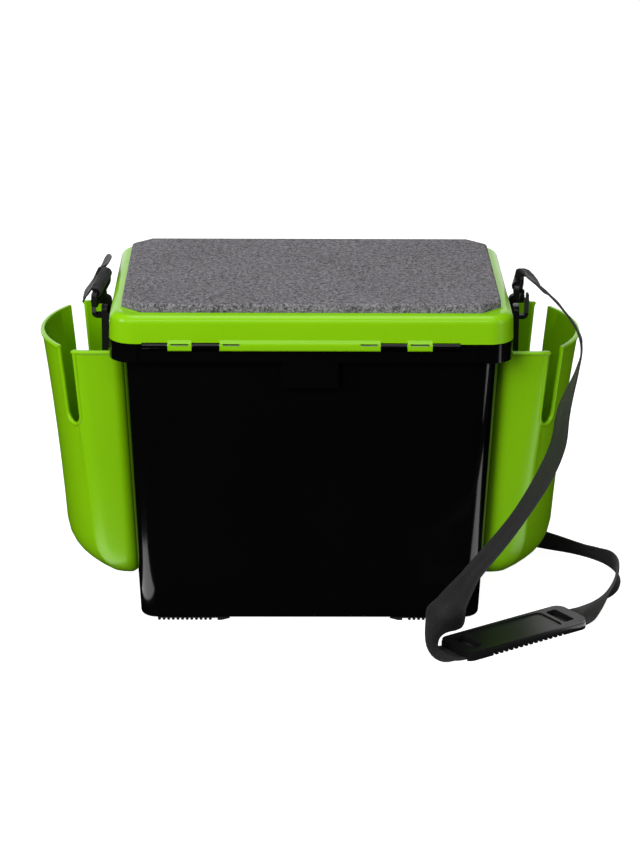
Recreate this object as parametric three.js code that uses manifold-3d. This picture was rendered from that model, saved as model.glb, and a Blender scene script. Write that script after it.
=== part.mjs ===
// Fishing seat box: a deep tub with a two-way lid, a foam seat, two side pockets and a shoulder strap.
// Millimetres, +Z up. X runs along the seat, -Y is the front, and the origin is on the floor
// under the middle of the tub.

import * as THREE from 'three';
import { mergeVertices } from 'three/addons/utils/BufferGeometryUtils.js';
import Module from 'manifold-3d';

const wasm = await Module();
wasm.setup();

// Driving sizes of the tub and lid
const lidLength = 380;
const lidDepth = 260;
const lidCorner = 25;
const tubTopLength = 355;
const tubTopDepth = 235;
const tubBottomLength = 329;
const tubBottomDepth = 212;
const tubTopCorner = 20;
const tubBottomCorner = 16;
const tubWall = 3;
const footHeight = 3.4;
const tubEdgeRound = 4;
const collarLow = 271;
const collarTop = 289.4;
const collarWall = 3;
const partingGap = 0.3;
const overrun = 2;
const seatGap = 0.3;

// Colours of the finished pieces
const green = 0x8acd05;
const black = 0x0d0d0f;
const rubberBlack = 0x161618;
const foamGrey = 0x646266;
const steelGrey = 0x8d9094;

// Fineness of round forms
const cornerSteps = 5;
const edgeSteps = 3;
const pinSides = 10;
const smallSides = 8;
const arcSegments = 4;
const ringSegments = 7;
const pocketCornerSteps = 3;
const pocketArcSteps = 8;

function material(color, roughness, metalness = 0) {
  return new THREE.MeshStandardMaterial({ color, roughness, metalness });
}

function addPiece(name, geometry, finish, parent) {
  const mesh = new THREE.Mesh(geometry, finish);
  mesh.name = name;
  (parent ?? object).add(mesh);
  return mesh;
}

// Solids are joined and cut as closed meshes that share their corner points
function solid(geometry) {
  const bare = geometry.clone();
  bare.deleteAttribute('normal');
  bare.deleteAttribute('uv');
  const welded = mergeVertices(bare);
  return new wasm.Manifold(new wasm.Mesh({
    numProp: 3,
    vertProperties: new Float32Array(welded.attributes.position.array),
    triVerts: new Uint32Array(welded.index.array),
  }));
}

function shell(body) {
  const mesh = body.getMesh();
  const geometry = new THREE.BufferGeometry();
  geometry.setAttribute('position', new THREE.BufferAttribute(new Float32Array(mesh.vertProperties), 3));
  geometry.setIndex(new THREE.BufferAttribute(new Uint32Array(mesh.triVerts), 1));
  geometry.computeVertexNormals();
  return geometry;
}

function join(bodies) {
  return bodies.reduce((whole, next) => whole.add(next));
}

function cut(body, cutters) {
  return cutters.reduce((whole, next) => whole.subtract(next), body);
}

function block(xMin, xMax, yMin, yMax, zMin, zMax) {
  const geometry = new THREE.BoxGeometry(xMax - xMin, yMax - yMin, zMax - zMin);
  geometry.translate((xMin + xMax) / 2, (yMin + yMax) / 2, (zMin + zMax) / 2);
  return solid(geometry);
}

// A cylinder along one axis, given by its middle
function rodAlong(axis, radius, length, x, y, z, sides = pinSides) {
  const geometry = new THREE.CylinderGeometry(radius, radius, length, sides);
  if (axis === 'x') geometry.rotateZ(Math.PI / 2);
  if (axis === 'z') geometry.rotateX(Math.PI / 2);
  geometry.translate(x, y, z);
  return geometry;
}

// Points round a rectangle with round corners, from its half sizes
function roundedRing(halfX, halfY, radius, z, steps = cornerSteps) {
  const ring = [];
  const corners = [[1, 1, 0], [-1, 1, 1], [-1, -1, 2], [1, -1, 3]];
  for (const [signX, signY, quarter] of corners) {
    for (let step = 0; step <= steps; step += 1) {
      const angle = (quarter + step / steps) * Math.PI / 2;
      ring.push(new THREE.Vector3(
        signX * (halfX - radius) + radius * Math.cos(angle),
        signY * (halfY - radius) + radius * Math.sin(angle),
        z,
      ));
    }
  }
  return ring;
}

// A closed body through rings of equal count, with flat fans at both ends
function loft(rings) {
  const count = rings[0].length;
  const points = rings.flat();
  const faces = [];
  for (let row = 0; row < rings.length - 1; row += 1) {
    for (let step = 0; step < count; step += 1) {
      const here = row * count + step;
      const next = row * count + (step + 1) % count;
      faces.push(here, next, next + count, here, next + count, here + count);
    }
  }
  const centre = (ring) => ring.reduce((sum, point) => sum.add(point), new THREE.Vector3())
    .divideScalar(count);
  const lowCentre = points.push(centre(rings[0])) - 1;
  const highCentre = points.push(centre(rings[rings.length - 1])) - 1;
  const lastRow = (rings.length - 1) * count;
  for (let step = 0; step < count; step += 1) {
    const next = (step + 1) % count;
    faces.push(lowCentre, next, step);
    faces.push(highCentre, lastRow + step, lastRow + next);
  }
  const geometry = new THREE.BufferGeometry().setFromPoints(points);
  geometry.setIndex(faces);
  geometry.computeVertexNormals();
  return geometry;
}

// A profile drawn in the YZ plane and run along X
function alongX(shape, xMin, xMax, curveSegments = arcSegments) {
  const geometry = new THREE.ExtrudeGeometry(shape, {
    depth: xMax - xMin, bevelEnabled: false, curveSegments,
  });
  geometry.applyMatrix4(new THREE.Matrix4().makeBasis(
    new THREE.Vector3(0, 1, 0), new THREE.Vector3(0, 0, 1), new THREE.Vector3(1, 0, 0),
  ));
  geometry.translate(xMin, 0, 0);
  return geometry;
}

// A profile drawn in the XZ plane and run along Y, centred on y = 0
function alongY(shape, width, curveSegments = arcSegments) {
  const geometry = new THREE.ExtrudeGeometry(shape, { depth: width, bevelEnabled: false, curveSegments });
  geometry.rotateX(Math.PI / 2);
  geometry.translate(0, width / 2, 0);
  return geometry;
}

// A profile drawn in plan and raised along Z
function raised(shape, zMin, zMax, curveSegments = arcSegments) {
  const geometry = new THREE.ExtrudeGeometry(shape, {
    depth: zMax - zMin, bevelEnabled: false, curveSegments,
  });
  geometry.translate(0, 0, zMin);
  return geometry;
}

function roundedShape(xMin, xMax, yMin, yMax, radius) {
  const shape = new THREE.Shape();
  shape.moveTo(xMin + radius, yMin);
  shape.lineTo(xMax - radius, yMin);
  shape.absarc(xMax - radius, yMin + radius, radius, -Math.PI / 2, 0);
  shape.lineTo(xMax, yMax - radius);
  shape.absarc(xMax - radius, yMax - radius, radius, 0, Math.PI / 2);
  shape.lineTo(xMin + radius, yMax);
  shape.absarc(xMin + radius, yMax - radius, radius, Math.PI / 2, Math.PI);
  shape.lineTo(xMin, yMin + radius);
  shape.absarc(xMin + radius, yMin + radius, radius, Math.PI, Math.PI * 1.5);
  return shape;
}

const raisedFrom = (shape, zMin, zMax) => solid(raised(shape, zMin, zMax));
const blend = (low, high, share) => low + (high - low) * share;
const halfTurn = (body) => body.rotate([0, 0, 180]);

// Tub sides lean in evenly from the collar down to the floor of the tub
const tubLow = footHeight;
const tubShare = (z) => (Math.min(z, collarLow) - tubLow) / (collarLow - tubLow);
const tubHalfX = (z) => blend(tubBottomLength, tubTopLength, tubShare(z)) / 2;
const tubHalfY = (z) => blend(tubBottomDepth, tubTopDepth, tubShare(z)) / 2;
const tubCorner = (z) => blend(tubBottomCorner, tubTopCorner, tubShare(z));

// Hinge line: rods held in round clips on the collar, with green knuckles of the lid between them
const rodRadius = 1.5;
const rodBore = 1.7;
const clipRadius = 3;
const hingeIn = 0.8;
const hingeY = -(lidDepth / 2 - hingeIn);
const hingeDrop = 1.9;
const hingeZ = collarTop - hingeDrop;
const clipSpans = [[-157.9, -134.7], [-111.4, -86.2], [64.8, 89], [113.3, 138.5]];
const knuckleGap = 0.5;
const clipMouth = 1.6;
const rebateDepth = 6;
const rebateDrop = 7.4;
const rebateY = -(lidDepth / 2 - rebateDepth);
const rebateLow = collarTop - rebateDrop;
const hingeStart = clipSpans[0][0] - knuckleGap;
const hingeEnd = clipSpans[3][1] + knuckleGap;

// Collar front: a shallow step back between the proud corners, and a tab below its middle
const stepBack = 2.5;
const stepStart = -162.6;
const stepEnd = 160;
const tabStart = -27.9;
const tabEnd = 25.2;
const tabLow = 245.7;
const tabWall = 2.5;
const gussetThick = 2;
const longGussets = [-130, -75, 75, 130];
const shortGussets = [-75, 75];
const strapBossHalf = 27;

// Strap ears, bolted to the ends of the collar
const earIn = 197.5;
const earOut = 203;
const earHalf = 14;
const earTop = 291;
const earLow = 242;
const earRound = 4;
const slotHalf = 6.5;
const slotLow = 276;
const slotHigh = 285;
const flangeThick = 2.5;
const flangeTop = 284;
const flangeIn = 193;
const earFootHalf = 26;
const earFootThick = 2.7;
const earFootLow = 271.8;
const earFootHigh = 285;
const earScrewY = 20;
const earScrewZ = 278.4;
const screwRadius = 1.8;
const screwHoleRadius = 2.1;
const screwHeadRadius = 3.6;
const screwHeadHeight = 2;
const screwLength = 12;
const lidHalf = lidLength / 2;

// Snap studs on the tub ends that the side pockets push onto
const studRadius = 4;
const studHeadRadius = 4.6;
const studHoleRadius = 5.2;
const studReach = 6;
const studHeadThick = 2;
const studY = 52;
const studZ = 214;

// Rubber feet with ribs across them
const footOuter = 148;
const footInner = 78;
const footTip = 12;
const footFront = 103;
const footBack = 79;
const footPlate = 1.2;
const footRibPitch = 4.5;
const footRibThick = 2.6;
const pegRadius = 2;
const pegHoleRadius = 2.3;
const pegHeight = 1.8;
const pegHoleDepth = 2.2;
const pegInset = 14;

const footPegs = [];
for (const signX of [-1, 1]) {
  for (const signY of [-1, 1]) {
    for (const along of [footInner + pegInset, footOuter - pegInset]) {
      footPegs.push([signX * along, signY * (footFront + footBack) / 2]);
    }
  }
}

// Clip: a ring round the rod, open upward, on a short web from the collar
function clip(xMin, xMax) {
  const profile = new THREE.Shape();
  const outerMouth = Math.acos(clipMouth / clipRadius);
  const innerMouth = Math.acos(clipMouth / rodBore);
  profile.absarc(0, 0, clipRadius, Math.PI - outerMouth, Math.PI * 2 + outerMouth);
  profile.absarc(0, 0, rodBore, innerMouth, -Math.PI - innerMouth, true);
  profile.closePath();
  const ring = solid(alongX(profile, xMin, xMax, ringSegments).translate(0, hingeY, hingeZ));
  const webStart = hingeY + (clipRadius + rodBore) / 2;
  const web = block(xMin, xMax, webStart, rebateY + overrun, hingeZ - clipRadius, hingeZ + rodBore / 4);
  const bore = solid(rodAlong('x', rodBore, xMax - xMin + overrun, (xMin + xMax) / 2, hingeY, hingeZ));
  return ring.add(web.subtract(bore));
}

function makeTub() {
  const edge = tubEdgeRound;
  const outerRings = [];
  for (let step = 0; step <= edgeSteps; step += 1) {
    const angle = step / edgeSteps * Math.PI / 2;
    const inset = edge * (1 - Math.sin(angle));
    const z = tubLow + edge * (1 - Math.cos(angle));
    outerRings.push(roundedRing(tubHalfX(z) - inset, tubHalfY(z) - inset, tubCorner(z) - inset, z));
  }
  outerRings.push(roundedRing(tubHalfX(collarLow), tubHalfY(collarLow), tubTopCorner, collarLow));
  outerRings.push(roundedRing(tubHalfX(collarLow), tubHalfY(collarLow), tubTopCorner, collarTop));
  const outer = solid(loft(outerRings));
  const innerLow = tubLow + tubWall;
  const innerRing = (z, level) => roundedRing(
    tubHalfX(z) - tubWall, tubHalfY(z) - tubWall, tubCorner(z) - tubWall, level,
  );
  const inner = solid(loft([
    innerRing(innerLow, innerLow), innerRing(collarLow, collarLow),
    innerRing(collarLow, collarTop + overrun),
  ]));

  const collar = solid(loft([
    roundedRing(lidHalf, lidDepth / 2, lidCorner, collarLow),
    roundedRing(lidHalf, lidDepth / 2, lidCorner, collarTop),
  ]));
  const flangeUnder = collarTop - collarWall;
  const channelOuter = solid(loft([
    roundedRing(lidHalf - collarWall, lidDepth / 2 - collarWall, lidCorner - collarWall, collarLow - overrun),
    roundedRing(lidHalf - collarWall, lidDepth / 2 - collarWall, lidCorner - collarWall, flangeUnder),
  ]));
  const channelInner = solid(loft([
    roundedRing(tubHalfX(collarLow), tubHalfY(collarLow), tubTopCorner, collarLow - overrun * 2),
    roundedRing(tubHalfX(collarLow), tubHalfY(collarLow), tubTopCorner, collarTop),
  ]));
  const kept = [];
  for (const x of longGussets) {
    kept.push(block(x - gussetThick / 2, x + gussetThick / 2, -lidDepth, lidDepth, collarLow, collarTop));
  }
  for (const y of shortGussets) {
    kept.push(block(-lidLength, lidLength, y - gussetThick / 2, y + gussetThick / 2, collarLow, collarTop));
  }
  kept.push(block(-lidLength, lidLength, -strapBossHalf, strapBossHalf, collarLow, collarTop));
  const frontSkirt = block(
    stepStart - collarWall, stepEnd + collarWall, -lidDepth / 2, -(lidDepth / 2 - stepBack - collarWall),
    collarLow, collarTop,
  );
  const frontStep = block(
    hingeStart - collarWall, hingeEnd + collarWall, -lidDepth / 2, rebateY + collarWall,
    rebateLow - collarWall, collarTop,
  );
  kept.push(frontSkirt, frontStep, halfTurn(frontSkirt), halfTurn(frontStep));
  const channel = cut(channelOuter.subtract(channelInner), kept);

  const front = [];
  front.push(block(
    stepStart, stepEnd, -lidDepth, -(lidDepth / 2 - stepBack), collarLow - overrun, collarTop + overrun,
  ));
  front.push(block(hingeStart, hingeEnd, -lidDepth, rebateY, rebateLow, collarTop + overrun));

  const tabFront = -(lidDepth / 2 - stepBack);
  const tabBack = -tubHalfY(tabLow) + tubWall / 2;
  const tabOuter = block(tabStart, tabEnd, tabFront, tabBack, tabLow, collarLow + overrun);
  const tabHollow = block(
    tabStart + tabWall, tabEnd - tabWall, tabFront + tabWall, tabBack + overrun, tabLow - overrun, collarTop,
  );
  const tab = tabOuter.subtract(tabHollow.subtract(outer));

  const fronts = [...clipSpans.map(([xMin, xMax]) => clip(xMin, xMax)), tab];
  let body = cut(outer.add(collar.subtract(channel)), [...front, ...front.map(halfTurn)]);
  body = join([body, ...fronts, ...fronts.map(halfTurn)]);
  body = body.subtract(inner);

  for (const side of [-1, 1]) {
    for (const y of [-studY, studY]) {
      const face = tubHalfX(studZ);
      const stem = face + studReach / 2;
      const head = face + studReach - studHeadThick / 2;
      const stemLength = studReach + tubWall;
      body = body.add(solid(rodAlong('x', studRadius, stemLength, side * (stem - tubWall / 2), y, studZ)));
      body = body.add(solid(rodAlong('x', studHeadRadius, studHeadThick, side * head, y, studZ)));
    }
    for (const y of [-earScrewY, earScrewY]) {
      const reach = screwLength + overrun;
      body = body.subtract(solid(
        rodAlong('x', screwHoleRadius, reach, side * (lidHalf - reach / 2 + overrun / 2), y, earScrewZ),
      ));
    }
  }
  for (const [x, y] of footPegs) {
    const middle = tubLow + pegHoleDepth / 2 - overrun / 2;
    const hole = rodAlong('z', pegHoleRadius, pegHoleDepth + overrun, x, y, middle, smallSides);
    body = body.subtract(solid(hole));
  }
  return shell(body);
}

// Foot: a thin plate with a smooth tip toward the middle, cross ribs below, and two pegs above
function makeFoot(signX, signY) {
  const bodies = [];
  const span = (from, to, low, high) => block(
    Math.min(signX * from, signX * to), Math.max(signX * from, signX * to),
    Math.min(signY * footFront, signY * footBack), Math.max(signY * footFront, signY * footBack), low, high,
  );
  bodies.push(span(footInner, footOuter, footHeight - footPlate, footHeight));
  bodies.push(span(footInner, footInner + footTip, 0, footHeight));
  const ribs = Math.floor((footOuter - footInner - footTip) / footRibPitch);
  for (let rib = 0; rib < ribs; rib += 1) {
    const start = footOuter - rib * footRibPitch;
    bodies.push(span(start - footRibThick, start, 0, footHeight));
  }
  for (const [x, y] of footPegs) {
    if (Math.sign(x) === signX && Math.sign(y) === signY) {
      bodies.push(solid(rodAlong(
        'z', pegRadius, pegHeight + footPlate, x, y, footHeight + (pegHeight - footPlate) / 2, smallSides,
      )));
    }
  }
  return shell(join(bodies));
}

// Lid: a rounded cap with ribs and a sealing tongue inside
const lidLow = collarTop + partingGap;
const lidTop = 316.3;
const lidEdgeRound = 8;
const lidDraft = 0.5;
const lidWall = 2.5;
const lidPlate = 2.6;
const padMargin = 12;
const padRecess = 0.8;
const padClear = 0.4;
const padChamfer = 19;
const tongueGap = 0.7;
const tongueWall = 2;
const tongueLow = 284.5;
const lidRibThick = 2;
const lidRibDrop = 8;
const lidRibsAlong = [-40, 40];
const lidRibsAcross = [-90, 0, 90];
const knuckleFront = 2.9;
const knuckleLow = 4.6;
const knuckleRise = 6;
const knuckleRoundShare = 0.97;
const notchRise = 1.3;
const knuckleSlotHalf = 1.1;
const knuckleSlotInset = 3;
const longStripSlot = 15.5;

function padShape(halfX, halfY, chamfer) {
  const shape = new THREE.Shape();
  const corners = [[1, -1], [1, 1], [-1, 1], [-1, -1]];
  corners.forEach(([signX, signY], index) => {
    const first = [signX * (halfX - chamfer), signY * halfY];
    const second = [signX * halfX, signY * (halfY - chamfer)];
    const pair = signX * signY < 0 ? [first, second] : [second, first];
    if (index === 0) shape.moveTo(...pair[0]);
    else shape.lineTo(...pair[0]);
    shape.lineTo(...pair[1]);
  });
  return shape;
}

// Knuckle section round the rod, running up into the wall of the lid
function knuckleProfile() {
  const shape = new THREE.Shape();
  const wallFront = -hingeIn;
  const wallBack = lidWall - hingeIn;
  shape.moveTo(wallFront, knuckleRise);
  shape.lineTo(-knuckleFront, hingeDrop + partingGap);
  shape.lineTo(-knuckleFront, -knuckleLow / 2);
  shape.quadraticCurveTo(-knuckleFront, -knuckleLow * knuckleRoundShare, 0, -knuckleLow);
  shape.quadraticCurveTo(knuckleFront, -knuckleLow * knuckleRoundShare, knuckleFront, -knuckleLow / 2);
  shape.lineTo(knuckleFront, hingeDrop + partingGap);
  shape.lineTo(wallBack, knuckleRise);
  return shape;
}

// Green stretches between the clips: two short knuckles and the long middle strip
const knuckleSpans = [
  { from: clipSpans[0][1], to: clipSpans[1][0], holdsRodEnds: false },
  { from: clipSpans[1][1], to: clipSpans[2][0], holdsRodEnds: true },
  { from: clipSpans[2][1], to: clipSpans[3][0], holdsRodEnds: false },
];
const rodInStrip = 19;
const rodEndGap = 0.4;

function makeLid() {
  const outerRings = [
    roundedRing(lidHalf, lidDepth / 2, lidCorner, lidLow),
    roundedRing(lidHalf - lidDraft, lidDepth / 2 - lidDraft, lidCorner - lidDraft, lidTop - lidEdgeRound),
  ];
  const lidSteps = edgeSteps + 1;
  for (let step = 1; step <= lidSteps; step += 1) {
    const angle = step / lidSteps * Math.PI / 2;
    const inset = lidDraft + lidEdgeRound * (1 - Math.cos(angle));
    const z = lidTop - lidEdgeRound + lidEdgeRound * Math.sin(angle);
    outerRings.push(roundedRing(lidHalf - inset, lidDepth / 2 - inset, lidCorner - inset, z));
  }
  const outer = solid(loft(outerRings));
  const underside = lidTop - padRecess - lidPlate;
  const hollow = solid(loft([
    roundedRing(lidHalf - lidWall, lidDepth / 2 - lidWall, lidCorner - lidWall, lidLow - overrun),
    roundedRing(
      lidHalf - lidWall - lidDraft, lidDepth / 2 - lidWall - lidDraft, lidCorner - lidWall - lidDraft,
      lidTop - lidEdgeRound,
    ),
    roundedRing(
      lidHalf - lidWall - lidEdgeRound / 2, lidDepth / 2 - lidWall - lidEdgeRound / 2,
      lidCorner - lidWall - lidEdgeRound / 2, underside,
    ),
  ]));
  const recess = raisedFrom(
    padShape(lidHalf - padMargin + padClear, lidDepth / 2 - padMargin + padClear, padChamfer),
    lidTop - padRecess, lidTop + overrun,
  );

  const tongueX = tubHalfX(collarLow) - tubWall - tongueGap;
  const tongueY = tubHalfY(collarLow) - tubWall - tongueGap;
  const tongueCorner = tubTopCorner - tubWall - tongueGap;
  const ring = (inset, low) => solid(loft([
    roundedRing(tongueX - inset, tongueY - inset, tongueCorner - inset, low),
    roundedRing(tongueX - inset, tongueY - inset, tongueCorner - inset, underside + lidPlate / 2),
  ]));
  const tongue = ring(0, tongueLow).subtract(ring(tongueWall, tongueLow - overrun));
  const ribLow = underside - lidRibDrop;
  const ribTop = underside + lidPlate / 2;
  const ribHalf = lidRibThick / 2;
  const ribs = [
    ...lidRibsAlong.map((y) => block(-tongueX, tongueX, y - ribHalf, y + ribHalf, ribLow, ribTop)),
    ...lidRibsAcross.map((x) => block(x - ribHalf, x + ribHalf, -tongueY, tongueY, ribLow, ribTop)),
  ];

  const knuckles = [];
  const cuts = [];
  for (const span of knuckleSpans) {
    const from = span.from + knuckleGap;
    const to = span.to - knuckleGap;
    knuckles.push(solid(alongX(knuckleProfile(), from, to).translate(0, hingeY, hingeZ)));
    const slot = (xMin, xMax) => block(
      xMin, xMax, hingeY - knuckleFront - overrun, hingeY,
      hingeZ + rodRadius / 2, hingeZ + rodRadius / 2 + knuckleSlotHalf * 2,
    );
    if (span.holdsRodEnds) {
      for (const [start, sign] of [[from, 1], [to, -1]]) {
        const end = start + sign * rodInStrip;
        cuts.push(solid(rodAlong(
          'x', rodBore, rodInStrip + overrun, (start + end) / 2 - sign * overrun / 2, hingeY, hingeZ,
        )));
        const inner = start + sign * knuckleSlotInset;
        const outerEnd = inner + sign * longStripSlot;
        cuts.push(slot(Math.min(inner, outerEnd), Math.max(inner, outerEnd)));
      }
    } else {
      cuts.push(solid(rodAlong('x', rodBore, to - from + overrun, (from + to) / 2, hingeY, hingeZ)));
      cuts.push(slot(from + knuckleSlotInset, to - knuckleSlotInset));
    }
  }
  for (const [xMin, xMax] of clipSpans) {
    cuts.push(block(
      xMin - knuckleGap, xMax + knuckleGap, -lidDepth, hingeY + knuckleFront + knuckleGap,
      lidLow - overrun, lidLow + notchRise,
    ));
  }

  const cap = outer.subtract(hollow).subtract(recess);
  const bodies = [cap, tongue, ...ribs, ...knuckles, ...knuckles.map(halfTurn)];
  return shell(cut(join(bodies), [...cuts, ...cuts.map(halfTurn)]));
}

// Rods run through two clips and end inside the long strip
const rodOuterGap = 0.6;
function rodSpan(side) {
  if (side === 'left') {
    return [clipSpans[0][0] + rodOuterGap, clipSpans[1][1] + knuckleGap + rodInStrip - rodEndGap];
  }
  return [clipSpans[2][0] - knuckleGap - rodInStrip + rodEndGap, clipSpans[3][1] - rodOuterGap];
}

// Seat pad: a slab of foam with softened edges and cut corners
const padThick = 9.5;
const padRound = 3;
function makePad() {
  const halfX = lidHalf - padMargin;
  const halfY = lidDepth / 2 - padMargin;
  const low = lidTop - padRecess;
  const points = (inset, z) => padShape(halfX - inset, halfY - inset, padChamfer - inset / 2)
    .getPoints().map((point) => new THREE.Vector3(point.x, point.y, z));
  const rings = [points(0, low), points(0, low + padThick - padRound)];
  for (let step = 1; step <= edgeSteps; step += 1) {
    const angle = step / edgeSteps * Math.PI / 2;
    rings.push(points(padRound * (1 - Math.cos(angle)), low + padThick - padRound * (1 - Math.sin(angle))));
  }
  return loft(rings);
}

// Side pocket: a deep D-shaped tub, flared toward its rim, with a slot down each outer corner
const pocketRim = 269;
const pocketFloor = 34;
const pocketReachTop = 262;
const pocketReachLow = 239;
const pocketHalfTop = 86;
const pocketHalfLow = 77;
const pocketNose = 35;
const pocketWall = 2.5;
const pocketGap = 1;
const pocketInnerCorner = 12;
const pocketOuterCorner = 11;
const pocketEndRound = 40;
const pocketSideRound = 20;
const pocketBackRound = 8;
const pocketFlareShare = 0.45;
const pocketNoseShare = 0.6;
const pocketRoundShares = [0, 0.04, 0.14, 0.3, 0.55, 1];
const pocketWallShares = [0.4, 0.7];
const beadOut = 1.2;
const beadHeight = 3.5;
const slotWide = 20;
const pocketSlotLow = 192;
const pocketSlotTurn = THREE.MathUtils.degToRad(-36.3);
const pocketSlotX = 235;
const pocketSlotY = -77;
const slotBead = 3;
const earNotchHalf = 20;
const earNotchLow = 236;

// Inset of a rounded lower edge at a height above the floor
function roundIn(height, radius) {
  if (height >= radius) return 0;
  return radius - Math.sqrt(radius * radius - (radius - height) * (radius - height));
}

// One level of the pocket: straight front and back walls, and a flat arc at the outer end
function pocketRing(z, wall, grow, level = z) {
  const share = (z - pocketFloor) / (pocketRim - pocketFloor);
  const flare = blend(share, share * share, pocketFlareShare);
  const height = Math.max(z - pocketFloor - wall, 0);
  const reach = blend(pocketReachLow, pocketReachTop, flare) - wall + grow
    - roundIn(height, pocketEndRound - wall);
  const half = blend(pocketHalfLow, pocketHalfTop, share) - wall + grow
    - roundIn(height, pocketSideRound - wall);
  const inside = tubHalfX(z) + pocketGap + wall + roundIn(height, pocketBackRound - wall);
  const nose = Math.min(pocketNose, (reach - inside) * pocketNoseShare);
  const bend = reach - nose;
  const arcRadius = (nose * nose + half * half) / (2 * nose);
  const arcCentre = reach - arcRadius;
  const arcHalfAngle = Math.asin(half / arcRadius);
  const onArc = (angle) => new THREE.Vector3(
    arcCentre + arcRadius * Math.cos(angle), arcRadius * Math.sin(angle), level,
  );
  const soft = pocketOuterCorner / arcRadius;
  const ring = [];
  const innerRound = Math.min(pocketInnerCorner, (bend - inside) / 2);
  for (let step = 0; step <= pocketCornerSteps; step += 1) {
    const angle = Math.PI + step / pocketCornerSteps * Math.PI / 2;
    const x = inside + innerRound * (1 + Math.cos(angle));
    const y = -half + innerRound * (1 + Math.sin(angle));
    ring.push(new THREE.Vector3(x, y, level));
  }
  const wallEnd = new THREE.Vector3(bend - pocketOuterCorner, -half, level);
  const corner = new THREE.Vector3(bend, -half, level);
  const arcStart = onArc(-arcHalfAngle + soft);
  const cornerCurve = new THREE.QuadraticBezierCurve3(wallEnd, corner, arcStart);
  ring.push(...cornerCurve.getPoints(pocketCornerSteps));
  for (let step = 1; step < pocketArcSteps; step += 1) {
    ring.push(onArc(blend(-arcHalfAngle + soft, arcHalfAngle - soft, step / pocketArcSteps)));
  }
  const mirrored = (point) => new THREE.Vector3(point.x, -point.y, level);
  ring.push(...cornerCurve.getPoints(pocketCornerSteps).reverse().map(mirrored));
  ring.push(...ring.slice(0, pocketCornerSteps + 1).reverse().map(mirrored));
  return ring;
}

function pocketLevels(wall) {
  const low = pocketFloor + wall;
  const heights = pocketRoundShares.map((share) => low + share * (pocketEndRound - wall));
  const upper = pocketWallShares.map((share) => blend(pocketFloor, pocketRim, share));
  return [...heights, ...upper];
}

function makePocket(side) {
  const outer = solid(loft([
    ...pocketLevels(0).map((z) => pocketRing(z, 0, 0)),
    pocketRing(pocketRim - beadHeight, 0, 0),
    pocketRing(pocketRim - beadHeight + beadOut / 2, 0, beadOut),
    pocketRing(pocketRim, 0, beadOut),
  ]));
  const inner = solid(loft([
    ...pocketLevels(pocketWall).map((z) => pocketRing(z, pocketWall, 0)),
    pocketRing(pocketRim, pocketWall, 0),
    pocketRing(pocketRim, pocketWall, 0, pocketRim + overrun),
  ]));
  const wallLevels = [...pocketLevels(0).slice(pocketRoundShares.length - 1), pocketRim];
  const grown = solid(loft(wallLevels.map((z) => pocketRing(z, 0, beadOut))));
  const slotCutter = (margin) => {
    const half = slotWide / 2 + margin;
    const depth = slotWide * 2;
    const shape = new THREE.Shape();
    shape.moveTo(half, pocketRim + overrun);
    shape.lineTo(-half, pocketRim + overrun);
    shape.lineTo(-half, pocketSlotLow + slotWide / 2);
    shape.absarc(0, pocketSlotLow + slotWide / 2, half, Math.PI, Math.PI * 2);
    const geometry = alongY(shape, depth, ringSegments);
    geometry.rotateZ(pocketSlotTurn + Math.PI / 2);
    geometry.translate(pocketSlotX, pocketSlotY, 0);
    return solid(geometry);
  };
  const mirrorY = (body) => body.mirror([0, 1, 0]);
  const beads = slotCutter(slotBead).intersect(grown);
  let pocket = cut(join([outer, beads, mirrorY(beads)]), [inner, slotCutter(0), mirrorY(slotCutter(0))]);
  pocket = pocket.subtract(block(
    tubHalfX(earNotchLow) - overrun, tubHalfX(collarLow) + pocketInnerCorner, -earNotchHalf, earNotchHalf,
    earNotchLow, pocketRim + overrun,
  ));
  for (const y of [-studY, studY]) {
    pocket = pocket.subtract(solid(rodAlong(
      'x', studHoleRadius, studReach * 2, tubHalfX(studZ) + studReach / 2, y, studZ,
    )));
  }
  return shell(side > 0 ? pocket : pocket.mirror([1, 0, 0]));
}

// Strap ear: a plate that hangs into the pocket mouth, with a slot for the hook near its top
function makeEar(side) {
  const plate = new THREE.Shape();
  const face = roundedShape(-earHalf, earHalf, earLow, earTop, earRound);
  plate.copy(face);
  plate.holes.push(roundedShape(-slotHalf, slotHalf, slotLow, slotHigh, earRound));
  const bodies = [solid(alongX(plate, earIn, earOut))];
  for (const sign of [-1, 1]) {
    const near = sign * (earHalf - flangeThick);
    const far = sign * earHalf;
    bodies.push(block(
      flangeIn, earIn + overrun, Math.min(near, far), Math.max(near, far), earLow + earRound * 2, flangeTop,
    ));
    bodies.push(block(
      lidHalf + seatGap, flangeIn + overrun, Math.min(near, far), Math.max(near, far), earFootLow, flangeTop,
    ));
    const footFar = sign * earFootHalf;
    const foot = block(
      lidHalf + seatGap, lidHalf + seatGap + earFootThick, Math.min(near, footFar), Math.max(near, footFar),
      earFootLow, earFootHigh,
    );
    const hole = rodAlong(
      'x', screwHoleRadius, earFootThick * 3, lidHalf + earFootThick / 2, sign * earScrewY, earScrewZ,
    );
    bodies.push(foot.subtract(solid(hole)));
  }
  const ear = join(bodies);
  return shell(side > 0 ? ear : ear.mirror([1, 0, 0]));
}

function makeEarScrew(side, y) {
  const headIn = lidHalf + seatGap * 2 + earFootThick;
  const head = rodAlong('x', screwHeadRadius, screwHeadHeight, headIn + screwHeadHeight / 2, y, earScrewZ);
  const shank = rodAlong('x', screwRadius, screwLength, headIn - screwLength / 2 + seatGap, y, earScrewZ);
  const screw = solid(head).add(solid(shank));
  return shell(side > 0 ? screw : screw.mirror([1, 0, 0]));
}

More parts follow.
